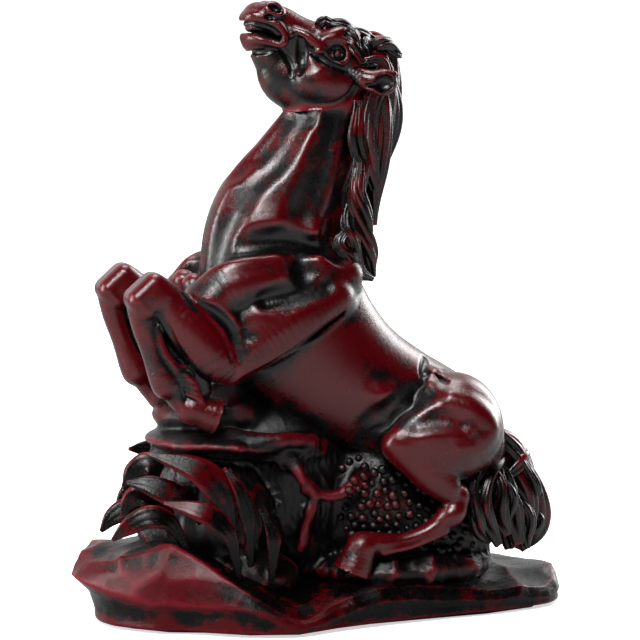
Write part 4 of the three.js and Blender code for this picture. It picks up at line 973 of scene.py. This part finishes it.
def swept(name, paths, tree, inputs, material, **values):
    """Sweeps paths of rows x, y, z, half width, half thickness, and across x, y, z."""
    rows = np.concatenate(paths)
    edges, start = [], 0
    for path in paths:
        edges += [(start + n, start + n + 1) for n in range(len(path) - 1)]
        start += len(path)
    guide = bpy.data.meshes.new(name + "_paths")
    guide.from_pydata((rows[:, :3] * MM).tolist(), edges, [])
    for label, kind, data in (("half_width", "FLOAT", rows[:, 3] * MM),
                              ("half_thick", "FLOAT", rows[:, 4] * MM)):
        guide.attributes.new(label, kind, "POINT").data.foreach_set("value", data.astype(np.float32))
    across = rows[:, 5:8].astype(np.float32).ravel()
    guide.attributes.new("across", "FLOAT_VECTOR", "POINT").data.foreach_set("vector", across)
    carrier = bpy.data.objects.new(name + "_paths", guide)
    bpy.context.scene.collection.objects.link(carrier)
    modifier = carrier.modifiers.new("Sweep", "NODES")
    modifier.node_group = tree
    modifier[inputs["Material"]] = material
    for label, value in values.items():
        modifier[inputs[label]] = value
    graph = bpy.context.evaluated_depsgraph_get()
    mesh = bpy.data.meshes.new_from_object(carrier.evaluated_get(graph), preserve_all_data_layers=False,
                                           depsgraph=graph)
    bpy.data.objects.remove(carrier)
    loose = bmesh.new()
    loose.from_mesh(mesh)
    bmesh.ops.recalc_face_normals(loose, faces=loose.faces)
    loose.to_mesh(mesh)
    loose.free()
    mesh.name = name
    made = bpy.data.objects.new(name, mesh)
    bpy.context.scene.collection.objects.link(made)
    print(name, len(paths), "sweeps,", len(mesh.polygons), "faces")
    return made


# %% [markdown]
# ## Finish
# The resin is dark oxblood. Black stain is left in every hollow, and the high places are rubbed back to a
# brighter red. The mesh itself knows where those places are: a point that stands above the mean of its
# neighbours is an edge, and one with other surfaces close in front of it is darkened, partly as that stain
# and partly as painted shade where the nearby surfaces would shadow it. Both are measured once and kept on
# the points, and the shader only reads them.

# %% Wear, stain and painted shade
def spread_of(mesh):
    co = np.empty(len(mesh.vertices) * 3, np.float32)
    mesh.vertices.foreach_get("co", co)
    normal = np.empty(len(mesh.vertices) * 3, np.float32)
    mesh.vertices.foreach_get("normal", normal)
    ends = np.empty(len(mesh.edges) * 2, np.int32)
    mesh.edges.foreach_get("vertices", ends)
    return co.reshape(-1, 3) / MM, normal.reshape(-1, 3), ends.reshape(-1, 2)


surroundings = melt(0.5, flesh, head, stand)


def worn_and_shaded(made, fine_mm, broad_mm):
    """Writes how proud each point stands, near and broadly, and how crowded it is, for stain and painted
    shade.
    """
    co, normal, ends = spread_of(made.data)
    a, b = np.concatenate([ends[:, 0], ends[:, 1]]), np.concatenate([ends[:, 1], ends[:, 0]])
    share = np.maximum(np.bincount(a, minlength=len(co)), 1)

    def eased(rows, times):
        for _ in range(times):
            means = [np.bincount(a, rows[b, n], len(co)) / share for n in range(rows.shape[1])]
            rows = 0.3 * rows + 0.7 * np.stack(means, 1)
        return rows

    near = eased(co, 4)
    wide = eased(near, 30)
    fine = ((co - near) * normal).sum(1) / fine_mm
    broad = ((co - wide) * normal).sum(1) / broad_mm
    # Painted shade: a point with other surfaces close in front of it, as under the belly or between a leg
    # and the body, is marked to be darkened as if shade fell there. In narrow hollows the same mark also
    # stands for the real stain.
    shade = np.zeros(len(co))
    for reach in (1.2, 3.0, 6.5):
        there = read_field(surroundings, co + normal * reach)
        shade += np.clip(1 - there / reach, 0, 1) / 3
    marks = eased(np.stack([np.clip(fine, -1, 2), np.clip(broad, -1, 2), shade], 1), 1)
    print(made.name, "proud", np.round(np.percentile(fine, (50, 90, 98)), 2),
          np.round(np.percentile(broad, (50, 90, 98)), 2))
    for name, values in zip(("fine", "broad", "recess"), marks.T):
        kept = made.data.attributes.new(name, "FLOAT", "POINT")
        kept.data.foreach_set("value", values.astype(np.float32))


# %% Patina and painted shade group
def patina_and_shade_group():
    """Colour, roughness and surface height of rubbed resin, with stain and painted shade in its hollows."""
    tree = bpy.data.node_groups.new("Rubbed patina", "ShaderNodeTree")
    wires = Wires(tree)
    for name, kind, value in (
        ("Body", "NodeSocketColor", (0.06, 0.0004, 0.002, 1)),
        ("Rubbed", "NodeSocketColor", (0.14, 0.003, 0.01, 1)),
        # The near-black stain colour is laid as real stain and also as painted shade.
        ("Stain", "NodeSocketColor", (0.0008, 0.0004, 0.0005, 1)),
        ("Stain amount", "NodeSocketFloat", 0.5),
        ("Rub amount", "NodeSocketFloat", 0.5),
        ("Smudge size", "NodeSocketFloat", 60.0),
        ("Gloss", "NodeSocketFloat", 0.25),
        ("Grain", "NodeSocketFloat", 1.0),
    ):
        tree.interface.new_socket(name=name, in_out="INPUT", socket_type=kind).default_value = value
    for name, kind in (("Color", "NodeSocketColor"), ("Roughness", "NodeSocketFloat"),
                       ("Height", "NodeSocketFloat")):
        tree.interface.new_socket(name=name, in_out="OUTPUT", socket_type=kind)
    given = wires.add("NodeGroupInput").outputs
    place = wires.add("ShaderNodeTexCoord").outputs["Object"]

    def cloud(scale, detail, rough):
        node = wires.add("ShaderNodeTexNoise", {"Vector": place, "Scale": scale, "Detail": detail,
                                                "Roughness": rough})
        return node.outputs["Fac"]

    def mark(name):
        return wires.add("ShaderNodeAttribute", attribute_name=name).outputs["Fac"]

    def span(value, low, high):
        node = wires.add("ShaderNodeMapRange", {"Value": value, "From Min": low, "From Max": high},
                         interpolation_type="SMOOTHSTEP")
        return node.outputs["Result"]

    def blend(factor, first, second):
        # A mix node has sockets of each kind under one name, so the colour ones are picked by their place.
        node = wires.add("ShaderNodeMix", data_type="RGBA")
        wires.put(node.inputs[0], factor)
        wires.put(node.inputs[6], first)
        wires.put(node.inputs[7], second)
        return node.outputs[2]

    smudge = cloud(given["Smudge size"], 6.0, 0.65)
    streak = cloud(260.0, 4.0, 0.6)
    fine, broad, recess = mark("fine"), mark("broad"), mark("recess")
    proud = wires.math("ADD", wires.math("MULTIPLY", fine, 0.6), wires.math("MULTIPLY", broad, 0.4))
    proud = wires.math("ADD", proud, wires.math("MULTIPLY", wires.math("SUBTRACT", streak, 0.5), 2.0))
    proud = wires.math("ADD", proud, wires.math("MULTIPLY", wires.math("SUBTRACT", smudge, 0.5), 1.0))
    rub = wires.math("MULTIPLY", span(proud, 0.35, 1.6), given["Rub amount"])
    # Painted shade: points crowded by nearby surfaces are darkened towards the stain colour, as shade would
    # darken them. Broad hollows, smudges and streaks add real stain.
    sunk = wires.math("SUBTRACT", wires.math("MULTIPLY", recess, 1.6), wires.math("MULTIPLY", broad, 0.8))
    sunk = wires.math("ADD", sunk, wires.math("MULTIPLY", wires.math("SUBTRACT", smudge, 0.5), 4.0))
    sunk = wires.math("ADD", sunk, wires.math("MULTIPLY", wires.math("SUBTRACT", streak, 0.5), 1.2))
    sunk = wires.math("ADD", sunk, wires.math("SUBTRACT", given["Stain amount"], 0.5))
    stain_and_shade = span(sunk, 0.0, 0.55)
    colour = blend(stain_and_shade, given["Body"], given["Stain"])
    colour = blend(rub, colour, given["Rubbed"])
    grain = cloud(2600.0, 3.0, 0.7)
    pores = cloud(900.0, 3.0, 0.6)
    pitted = wires.math("MULTIPLY", wires.math("SUBTRACT", pores, 0.4), 0.25)
    rough = wires.math("ADD", given["Gloss"], pitted)
    rough = wires.math("ADD", rough, wires.math("MULTIPLY", stain_and_shade, 0.08))
    height = wires.math("ADD", wires.math("MULTIPLY", grain, 1.0), wires.math("MULTIPLY", pores, 0.7))
    height = wires.math("ADD", height, wires.math("MULTIPLY", streak, 0.6))
    end = wires.add("NodeGroupOutput").inputs
    wires.put(end["Color"], colour)
    wires.put(end["Roughness"], rough)
    wires.put(end["Height"], wires.math("MULTIPLY", height, given["Grain"]))
    return tree


patina_and_shade = patina_and_shade_group()


def resin(name, coat, relief=0.0001, specular=0.5, **values):
    """A resin finish: the patina, with its painted shade, under a thin clear lacquer."""
    made = bpy.data.materials.new(name)
    made.use_nodes = True
    made.node_tree.nodes.clear()
    wires = Wires(made.node_tree)
    look = wires.add("ShaderNodeGroup", node_tree=patina_and_shade)
    for socket, value in values.items():
        look.inputs[socket.replace("_", " ")].default_value = value
    bump = wires.add("ShaderNodeBump", {"Height": look.outputs["Height"], "Strength": 0.7,
                                        "Distance": relief})
    shader = wires.add("ShaderNodeBsdfPrincipled", {
        "Base Color": look.outputs["Color"],
        "Roughness": look.outputs["Roughness"],
        "Normal": bump.outputs["Normal"],
        "IOR": 1.5,
        "Specular IOR Level": specular,
        "Coat Weight": coat,
        "Coat Roughness": 0.16,
    })
    wires.add("ShaderNodeOutputMaterial", {"Surface": shader.outputs["BSDF"]})
    return made


body_resin = resin("body_resin", 0.08, Stain_amount=0.58, Rub_amount=0.65, Smudge_size=38.0, Gloss=0.2,
                   Grain=1.0)
hoof_resin = resin("hoof_resin", 0.08, Stain_amount=0.5, Rub_amount=0.65, Smudge_size=80.0, Gloss=0.22,
                   Grain=1.3)
hair_resin = resin("hair_resin", 0.1, 0.00006, 0.4, Stain_amount=1.45, Rub_amount=0.7, Smudge_size=70.0,
                   Gloss=0.17, Grain=1.0)
rock_resin = resin("rock_resin", 0.05, 0.00012, 0.35, Stain_amount=1.2, Rub_amount=0.8, Smudge_size=50.0,
                   Gloss=0.22, Grain=1.6)
base_resin = resin("base_resin", 0.03, 0.00012, 0.22, Stain_amount=1.0, Rub_amount=0.9, Smudge_size=48.0,
                   Gloss=0.19, Grain=1.5)
leaf_resin = resin("leaf_resin", 0.03, 0.00008, 0.25, Stain_amount=1.4, Rub_amount=1.0, Smudge_size=60.0,
                   Gloss=0.18, Grain=1.2)

# %% Locks of hair
# Each lock runs from its root to its tip through stations of x, y, z, half width and half thickness.
manes = [
    [(12, 0, 163, 4.6, 3.4), (18.4, 0, 161.6, 5.4, 3.8), (19.6, 0, 153, 5.4, 3.8),
     (18.4, -0.5, 141, 4.6, 3.4), (17.6, -1.5, 127, 1.6, 1.2)],
    [(11, -4, 161, 3, 2.4), (16.8, -5.4, 158, 4, 3), (16, -5.6, 145, 3.6, 2.8), (16.4, -4.8, 128, 3, 2.4),
     (15, -4, 112.5, 1, 1)],
    [(9.5, -7.4, 160, 2.2, 2), (15, -8.2, 158, 2.8, 2.4), (13, -8, 146, 3, 2.6), (13, -7, 131, 2.8, 2.4),
     (14.4, -5, 118, 1, 1)],
    [(11, 4, 161, 3, 2.4), (16.8, 5.4, 158, 4, 3), (16, 5.6, 145, 3.6, 2.8), (16.4, 4.8, 128, 3, 2.4),
     (15, 4, 114, 1, 1)],
    [(12, 0, 150, 3.4, 3.2), (14.6, 0, 136, 4.4, 4), (13.2, 0, 120, 4.4, 4), (12.6, 0, 106, 3.4, 3),
     (13.4, -1, 97, 1.4, 1.4)],
    [(10.4, -6.4, 139, 2.4, 2), (9.4, -8, 127, 3.4, 2.8), (8.6, -8.2, 116, 3.4, 2.8),
     (12, -6.6, 104, 2.4, 2.2), (15.6, -4, 98.5, 0.8, 0.8)],
    [(7.4, -8, 119, 2.2, 2), (5.4, -9.6, 110, 3, 2.4), (8.4, -8.4, 102.4, 2.8, 2.4),
     (13.6, -6, 96.5, 0.8, 0.8)],
    [(12, 6, 148, 3, 2.4), (11.6, 7.2, 134, 3.4, 2.6), (10, 7.6, 118, 3.4, 2.8), (13, 5.6, 100, 0.8, 0.8)],
    [(9.8, -6.8, 148, 2, 1.8), (8.8, -8.4, 139, 2.6, 2.2), (11, -8.8, 131, 2.6, 2.2),
     (8, -9.6, 122, 2.6, 2.2), (10.6, -9, 114, 2, 1.8), (14, -7, 109, 0.8, 0.8)],
    [(6.6, -9, 113, 1.6, 1.6), (3.8, -10.8, 107, 2.2, 2), (6.4, -10.6, 101.6, 2, 1.8),
     (10.4, -8.4, 98.6, 0.8, 0.8)],
]
forelocks = [
    [(15, 0, 163, 4.4, 2.6), (9.5, -0.5, 167.2, 4, 2.4), (4, -1, 169.4, 3, 2), (-1, -1, 170.6, 1.1, 1)],
    [(12, -2, 165.4, 3, 2.2), (7.6, -5.6, 167.6, 2.6, 2), (7, -8.6, 164.8, 2, 1.8),
     (9.2, -10, 159.4, 0.8, 0.8)],
    [(14, -3, 163, 3, 2.2), (11.4, -7, 164.2, 2.4, 2), (10.8, -9.4, 158.8, 0.8, 0.8)],
    [(12, 2, 165.4, 3, 2.2), (7.6, 5.6, 167.6, 2.6, 2), (7, 8.6, 164.8, 2, 1.8),
     (9.2, 10, 159.4, 0.8, 0.8)],
    [(14, 3, 163, 3, 2.2), (11.4, 7, 164.2, 2.4, 2), (10.8, 9.4, 158.8, 0.8, 0.8)],
    [(8.4, -4.4, 167.4, 1.4, 1.4), (3.4, -4.6, 169.6, 1.6, 1.5), (0.4, -4.2, 170.8, 1.5, 1.4),
     (-0.6, -3.6, 169.2, 1.2, 1.2), (0.8, -3.8, 168, 0.8, 0.8)],
    [(13.4, -6, 162.6, 1.8, 1.6), (15.6, -7.4, 164.4, 2, 1.8), (19.4, -6.4, 163.6, 2, 1.8),
     (22, -4.4, 160.4, 0.8, 0.8)],
]
tails = [
    [(50, 0, 48, 3.6, 3.4), (58, 0.5, 44, 4.4, 3.6), (64, 0, 34, 4.6, 3.8), (65, 0.5, 23, 4, 3.4),
     (61, 1, 15, 1.3, 1.3)],
    [(48, -2, 48, 3, 3), (56, -4.5, 42, 3.6, 3), (60.2, -5.5, 31, 3.8, 3), (61, -6, 16.6, 1.2, 1.2)],
    [(46, -8, 47, 2.6, 2.4), (52.4, -10, 40, 3.2, 2.6), (54.8, -9.5, 30, 3, 2.6),
     (57.6, -9, 18.6, 1.4, 1.2)],
    [(49, -5, 45, 2.4, 2.4), (51, -12, 37.5, 3, 2.6), (50.4, -13.2, 29, 2.8, 2.4),
     (52.4, -13, 22, 1.2, 1.2)],
    [(54, -6, 44, 2.2, 2.2), (47.4, -14, 39.4, 2.6, 2.4), (44, -16.8, 30, 2.5, 2.2),
     (49.4, -15.4, 19.6, 1, 1)],
    [(50, 3, 46, 2.6, 2.6), (56, 6.5, 39, 3.4, 3), (58.5, 8.5, 29, 3.6, 3), (61, 8.5, 14, 1.2, 1.2)],
    [(49, 6, 45, 2.4, 2.4), (51, 12, 37, 3, 2.6), (50, 14, 28, 3, 2.6), (52, 14, 20, 1.4, 1.4)],
    [(53, -9, 39, 1.6, 1.6), (57, -4.5, 42.5, 4, 4.6), (58, 0, 43, 4.4, 5), (57, 4.5, 42.5, 4, 4.6),
     (53, 9, 39, 1.6, 1.6)],
    [(51, -10, 46.6, 1.4, 1.4), (43.4, -15.4, 41.4, 2.2, 1.8), (40.9, -17.4, 33.4, 2.3, 1.9),
     (42.4, -17, 25.6, 2, 1.7), (47.2, -14.4, 20.6, 0.6, 0.6)],
    [(52.2, -11.6, 41, 1.2, 1.2), (54, -13.4, 33.4, 2.1, 1.8), (53.4, -12.6, 26, 0.6, 0.6)],
    [(52.6, -6, 50.5, 1.6, 1.6), (59.6, -7, 42.4, 2.4, 2), (62.8, -6.4, 35, 2.2, 1.8),
     (61.4, -5.6, 29.4, 0.6, 0.6)],
    [(55.4, -8, 36, 1.2, 1.2), (59.2, -8.6, 30.8, 2.1, 1.8), (60.6, -8.4, 24.4, 2, 1.7),
     (61, -7, 17.4, 0.6, 0.6)],
    [(64.4, -3, 30, 1, 1), (66, -3.4, 25, 2, 1.7), (62, -3.4, 19.4, 0.6, 0.6)],
]


def strands(locks, up, seed, count, sway):
    """Splits each lock into a few thick strands that cross over each other on the way down."""
    chance = np.random.default_rng(seed)
    paths = []
    for lock in locks:
        rows = through(lock, 12)
        way = np.gradient(rows[:, :3], axis=0)
        across = np.cross(way, up)
        across /= np.linalg.norm(across, axis=1, keepdims=True)
        out = np.cross(across, way)
        out /= np.linalg.norm(out, axis=1, keepdims=True)
        share = np.linspace(0, 1, len(rows))
        beat = share * 2 * np.pi * chance.uniform(1.3, 1.8) + chance.uniform(0, 6)
        swing = sway * np.sin(beat) * np.minimum(1, share * 3)
        for n in range(count):
            drift = n * 2 * np.pi / count + chance.uniform(-0.4, 0.4) + 3.4 * share
            size = chance.uniform(0.62, 0.76) * (2.6 / count) ** 0.4 * (1 + 0.12 * np.sin(share * 9 + n))
            u = 0.5 * np.cos(drift) * rows[:, 3] + swing
            v = 0.5 * np.sin(drift) * rows[:, 4] + 0.5 * swing * np.cos(share * 5 + n)
            at = rows[:, :3] + across * u[:, None] + out * v[:, None]
            paths.append(np.column_stack([at, rows[:, 3] * size, rows[:, 4] * size, across]))
    return paths


for name, locks, up, seed, count, sway in (
    ("mane", manes, (0, 1, 0), 3, 4, 1.3),
    ("forelock", forelocks, (0, 0.1, 1), 5, 3, 0.7),
    ("tail", tails, (0, 1, 0), 8, 2, 0.35),
):
    paths = strands(locks, up, seed, count, sway)
    pieces[name] = swept(name + "_locks", paths, hair_tree, hair_inputs, hair_resin,
                         Rings=48, Sides=28, Ridges=4.0, Depth=0.26, Twist=0.9)

# %% Reeds
LEAF_THICK = 1.7
# Each leaf runs from its foot to its tip through stations of x, y, z and half width.
LEAVES = [
    [(-30, -20, 17, 2.4), (-33, -25, 32.5, 3.6), (-36, -26, 40.5, 4), (-42, -25.5, 46.8, 3.6),
     (-55, -21, 51.2, 0.5)],
    [(-30, -25, 13, 1.9), (-33.4, -30, 27, 2.6), (-37.5, -30, 33, 2.9), (-43, -29, 36, 2.6),
     (-51.5, -25, 37.8, 0.5)],
    [(-26, -22, 13, 1.7), (-27.6, -27, 28, 2), (-28.6, -27.5, 35.5, 2.2), (-31, -27, 42, 1.7),
     (-34.5, -25, 47, 0.5)],
    [(-21, -23.5, 9, 1.6), (-21, -28, 23, 1.9), (-21.4, -28, 29, 1.8), (-24.5, -26, 35, 0.5)],
    [(-43, -18, 22, 2.4), (-49, -21.5, 31.5, 3.4), (-55, -22, 33.6, 3.1), (-60.6, -21, 31, 2.4),
     (-65, -19, 27, 0.5)],
    [(-37, -16, 27, 2.4), (-42, -19, 35.5, 3.4), (-49, -18.5, 39.6, 3.4), (-54.4, -17, 41.8, 2.6),
     (-60, -15, 42.4, 0.5)],
    [(-42, -8, 33, 2.4), (-47, -9, 42, 3.4), (-52, -9, 46.3, 3.4), (-56, -8, 45, 2.6),
     (-59.5, -7, 40, 0.5)],
    [(-41, -11, 25, 2.4), (-48, -13, 34, 3.4), (-54, -12.5, 38.2, 3.4), (-58, -11.5, 36.8, 2.6),
     (-60.5, -10, 32, 0.5)],
    [(-46, -2, 22, 2.4), (-52, -2, 30, 3.1), (-57, -2, 32.6, 3.1), (-61.5, -2, 30.6, 2.4),
     (-65, -2, 26.5, 0.5)],
    [(-42, 7, 32, 2.4), (-46, 7.5, 41, 3.4), (-50, 8, 43.2, 3.4), (-53.5, 8.5, 41.4, 2.6),
     (-56, 9, 36.5, 0.5)],
    [(-35, 13, 22, 2.4), (-44, 15.5, 33.5, 3.4), (-49, 16, 36, 3.4), (-53.5, 16, 34, 2.6),
     (-57, 16, 29.5, 0.5)],
    [(-37, 19, 15, 2.2), (-45, 23, 28, 3.1), (-50.5, 23, 30.5, 2.9), (-57, 21, 27, 0.5)],
    [(-30, 18, 17, 2.4), (-34, 24, 33, 3.6), (-38.5, 24.5, 41, 3.6), (-45, 23.5, 45.5, 2.9),
     (-52, 21, 46.5, 0.5)],
    [(-22, 18, 12, 1.9), (-26, 26.5, 29, 2.6), (-29, 27, 36, 2.6), (-34.5, 25, 42, 0.5)],
]
for n, stations in enumerate(LEAVES, 1):
    rows = through(stations, 8)
    way = np.gradient(rows[:, :3], axis=0)
    across = np.cross(way, (-0.05, -0.9, 0.4))
    across /= np.linalg.norm(across, axis=1, keepdims=True)
    sprung = np.linspace(0, 1, len(rows))
    rows[:, 3] *= np.clip(0.35 + 1.6 * sprung, 0, 1.08)
    thick = LEAF_THICK / 2 * (0.4 + 0.6 * np.minimum(1, rows[:, 3] / 2))
    path = np.column_stack([rows[:, :4], thick, across])
    name = f"reed_leaf_{n:02d}"
    pieces[name] = swept(name + "_blade", [path], leaf_tree, leaf_inputs, leaf_resin,
                         Rings=48, Sides=28, Ridges=3.1, Depth=0.35)

# %% [markdown]
# ## Beads on the rock
# A patch of small round beads is worked on the rock under the thigh. Their places are scattered at random,
# but never close together, and pushed in from the left side until they meet the rock. Geometry Nodes then
# sets one bead on each, half sunk, with sizes that vary a little.

# %% Beads
TRIES, PUSHES = 4000, 60


def bead_places(seed, wanted, apart):
    """Points on the rock's left face, at least `apart` from each other."""
    chance = np.random.default_rng(seed)
    kept = []
    for _ in range(TRIES):
        x, z = chance.uniform(3, 44), chance.uniform(17, 48)
        low = 19 if x > 26 else 24
        if z > 50 - 0.42 * x or z < low or len(kept) == wanted:
            continue
        if all((x - a) ** 2 + (z - b) ** 2 > apart**2 for a, b in kept):
            kept.append((x, z))
    flat = np.array(kept)
    at = np.column_stack([flat[:, 0], np.full(len(flat), -30.0), flat[:, 1]])
    for _ in range(PUSHES):
        at[:, 1] += np.clip(read_field(stand, at), 0, 2) * 0.8
    return at[at[:, 1] < -8]


def bead_tree():
    tree = bpy.data.node_groups.new("Beads", "GeometryNodeTree")
    tree.is_modifier = True
    wires = Wires(tree)
    sockets = {}
    for label, kind, value in (
        ("Geometry", "NodeSocketGeometry", None), ("Material", "NodeSocketMaterial", None),
        ("Radius", "NodeSocketFloat", 0.0013), ("Spread", "NodeSocketFloat", 0.25),
        ("Seed", "NodeSocketInt", 4),
    ):
        socket = tree.interface.new_socket(name=label, in_out="INPUT", socket_type=kind)
        if value is not None:
            socket.default_value = value
        sockets[label] = socket.identifier
    tree.interface.new_socket(name="Geometry", in_out="OUTPUT", socket_type="NodeSocketGeometry")
    given = wires.add("NodeGroupInput").outputs
    bead = wires.add("GeometryNodeMeshIcoSphere", {"Radius": given["Radius"],
                                                   "Subdivisions": 3}).outputs["Mesh"]
    low = wires.math("SUBTRACT", 1.0, given["Spread"])
    high = wires.math("ADD", 1.0, given["Spread"])
    # A random value's sockets share their names too: 2 and 3 are the plain numbers, and 1 is the result.
    chance = wires.add("FunctionNodeRandomValue", {"Seed": given["Seed"]}, data_type="FLOAT")
    wires.put(chance.inputs[2], low)
    wires.put(chance.inputs[3], high)
    set_on = wires.add("GeometryNodeInstanceOnPoints", {"Points": given["Geometry"], "Instance": bead,
                                                        "Scale": chance.outputs[1]})
    real = wires.add("GeometryNodeRealizeInstances",
                     {"Geometry": set_on.outputs["Instances"]}).outputs["Geometry"]
    smooth = wires.add("GeometryNodeSetShadeSmooth", {"Geometry": real}).outputs["Geometry"]
    finished = wires.add("GeometryNodeSetMaterial", {"Geometry": smooth,
                                                     "Material": given["Material"]}).outputs["Geometry"]
    wires.put(wires.add("NodeGroupOutput").inputs["Geometry"], finished)
    return tree, sockets


def grown(name, points, tree, inputs, material, **values):
    """Runs a tree of Geometry Nodes on loose points and keeps the mesh that comes out."""
    carrier_mesh = bpy.data.meshes.new(name + "_points")
    carrier_mesh.from_pydata((points * MM).tolist(), [], [])
    carrier = bpy.data.objects.new(name + "_points", carrier_mesh)
    bpy.context.scene.collection.objects.link(carrier)
    modifier = carrier.modifiers.new("Grow", "NODES")
    modifier.node_group = tree
    modifier[inputs["Material"]] = material
    for label, value in values.items():
        modifier[inputs[label]] = value
    graph = bpy.context.evaluated_depsgraph_get()
    mesh = bpy.data.meshes.new_from_object(carrier.evaluated_get(graph), preserve_all_data_layers=False,
                                           depsgraph=graph)
    bpy.data.objects.remove(carrier)
    mesh.name = name
    made = bpy.data.objects.new(name, mesh)
    bpy.context.scene.collection.objects.link(made)
    print(name, len(points), "instances,", len(mesh.polygons), "faces")
    return made


beads = grown("rock_beads", bead_places(11, 90, 2.3), *bead_tree(), rock_resin, Radius=0.00135, Seed=4)

# %% Give each casting its finish
finishes = {
    "body_resin": body_resin, "hoof_resin": hoof_resin, "hair_resin": hair_resin,
    "rock_resin": rock_resin, "base_resin": base_resin, "leaf_resin": leaf_resin,
}


FINISH_BY_WORD = {
    "hoof": "hoof_resin", "mane": "hair_resin", "lock": "hair_resin", "tail": "hair_resin",
    "base": "base_resin", "rock": "rock_resin", "reed": "leaf_resin",
}
# A point that stands this many millimetres proud, of its close and of its wide surroundings, reads as 1.
WEAR_SCALES = {
    "body_resin": (0.09, 0.9), "hoof_resin": (0.12, 0.8), "hair_resin": (0.25, 1.0),
    "rock_resin": (0.12, 0.7), "base_resin": (0.12, 0.7), "leaf_resin": (0.22, 0.9),
}
for name, made in pieces.items():
    finish = next((FINISH_BY_WORD[word] for word in FINISH_BY_WORD if word in name), "body_resin")
    made.data.materials.clear()
    made.data.materials.append(finishes[finish])
    worn_and_shaded(made, *WEAR_SCALES[finish])
    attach(made, "root")
    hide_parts(name)
worn_and_shaded(beads, 0.5, 2.0)
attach(beads, "root")
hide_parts("rock_stand")
print("dressed", len(pieces) + 1, "pieces")

# %% Felt
felt = bpy.data.materials.new("felt")
felt.use_nodes = True
felt_wires = Wires(felt.node_tree)
felt_shader = felt.node_tree.nodes["Principled BSDF"]
fuzz = felt_wires.add("ShaderNodeTexNoise",
                      {"Vector": felt_wires.add("ShaderNodeTexCoord").outputs["Object"], "Scale": 1800.0,
                       "Detail": 4.0})
ramp = felt_wires.add("ShaderNodeValToRGB", {"Fac": fuzz.outputs["Fac"]})
ramp.color_ramp.elements[0].color = (0.006, 0.005, 0.005, 1)
ramp.color_ramp.elements[1].color = (0.03, 0.026, 0.024, 1)
felt_bump = felt_wires.add("ShaderNodeBump", {"Height": fuzz.outputs["Fac"], "Distance": 0.0003})
felt_wires.put(felt_shader.inputs["Base Color"], ramp.outputs["Color"])
felt_wires.put(felt_shader.inputs["Normal"], felt_bump.outputs["Normal"])
felt_shader.inputs["Roughness"].default_value = 0.95
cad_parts["felt_pad"].data.materials.clear()
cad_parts["felt_pad"].data.materials.append(felt)

# %% [markdown]
# ## The studio
# The figurine stands on a pale floor under large soft lamps, seen a little from above and from its left.
# The room is bright behind it and dark in front of it, so its outline mirrors light and its middle stays
# deep.

# %% Studio
AIM = Vector((0, 0, 85)) * MM
DISTANCE = 900 * MM
SENSOR = 36
VIEW_WIDTH = 640 * 0.288 * MM  # the photo is 640 pixels wide, and a pixel covers 0.288 mm at the figurine
AZIMUTH, ELEVATION = math.radians(-15), math.radians(6)
back = Vector((math.sin(AZIMUTH) * math.cos(ELEVATION), -math.cos(AZIMUTH) * math.cos(ELEVATION),
               math.sin(ELEVATION)))
camera = bpy.data.objects.new("camera", bpy.data.cameras.new("camera"))
camera.data.sensor_width = SENSOR
camera.data.lens = SENSOR * DISTANCE / VIEW_WIDTH
camera.location = AIM + back * DISTANCE
camera.rotation_euler = (-back).to_track_quat("-Z", "Y").to_euler()
bpy.context.scene.collection.objects.link(camera)
bpy.context.scene.camera = camera


def soft_lamp(name, place, size, power):
    data = bpy.data.lights.new(name, "AREA")
    data.shape, data.size, data.size_y, data.energy = "RECTANGLE", size[0], size[1], power
    lamp = bpy.data.objects.new(name, data)
    lamp.location = place
    lamp.rotation_euler = (Vector(place) - AIM).to_track_quat("Z", "Y").to_euler()
    bpy.context.scene.collection.objects.link(lamp)


soft_lamp("left_lamp", (-1.1, -0.1, 0.35), (0.2, 0.7), 12)
soft_lamp("right_lamp", (0.95, 0.6, 0.5), (0.5, 0.9), 12)
soft_lamp("top_lamp", (0.15, 0.25, 1.2), (0.5, 0.35), 8)
soft_lamp("key_lamp", (-0.45, -0.85, 1.05), (0.32, 0.32), 20)
world = bpy.data.worlds.new("studio")
bpy.context.scene.world = world
world.use_nodes = True
sky = Wires(world.node_tree)
direct = sky.add("ShaderNodeLightPath").outputs["Is Camera Ray"]
toward = sky.add("ShaderNodeSeparateXYZ",
                 {"Vector": sky.add("ShaderNodeTexCoord").outputs["Generated"]}).outputs["Y"]
glow = sky.add("ShaderNodeMapRange", {"Value": toward, "From Min": 0.05, "From Max": 0.55, "To Min": 0.006,
                                      "To Max": 0.9})
sky.put(world.node_tree.nodes["Background"].inputs["Color"],
        sky.math("MAXIMUM", direct, glow.outputs["Result"]))
bpy.context.scene.view_settings.view_transform = "Standard"

# %% Floor
floor_mesh = bpy.data.meshes.new("floor")
span = 60.0
floor_mesh.from_pydata([(-span, -span, 0), (span, -span, 0), (span, span, 0), (-span, span, 0)], [],
                       [(0, 1, 2, 3)])
floor = bpy.data.objects.new("floor", floor_mesh)
bpy.context.scene.collection.objects.link(floor)
paper = bpy.data.materials.new("paper")
paper.use_nodes = True
paper_wires = Wires(paper.node_tree)
paper_shader = paper.node_tree.nodes["Principled BSDF"]
seen = paper_wires.add("ShaderNodeLightPath").outputs["Is Camera Ray"]
from_middle = paper_wires.vector("LENGTH", paper_wires.add("ShaderNodeTexCoord").outputs["Object"])
fade = paper_wires.add("ShaderNodeMapRange", {"Value": from_middle, "From Min": 0.1, "From Max": 0.5,
                                              "To Min": 0.62, "To Max": 1.0})
paper_wires.put(paper_shader.inputs["Base Color"], paper_wires.math("MULTIPLY_ADD", seen, 0.6, 0.35))
paper_wires.put(paper_shader.inputs["Emission Color"], paper_wires.math("MULTIPLY", seen,
                                                                        fade.outputs["Result"]))
paper_shader.inputs["Emission Strength"].default_value = 1.0
paper_shader.inputs["Roughness"].default_value = 0.9
floor_mesh.materials.append(paper)
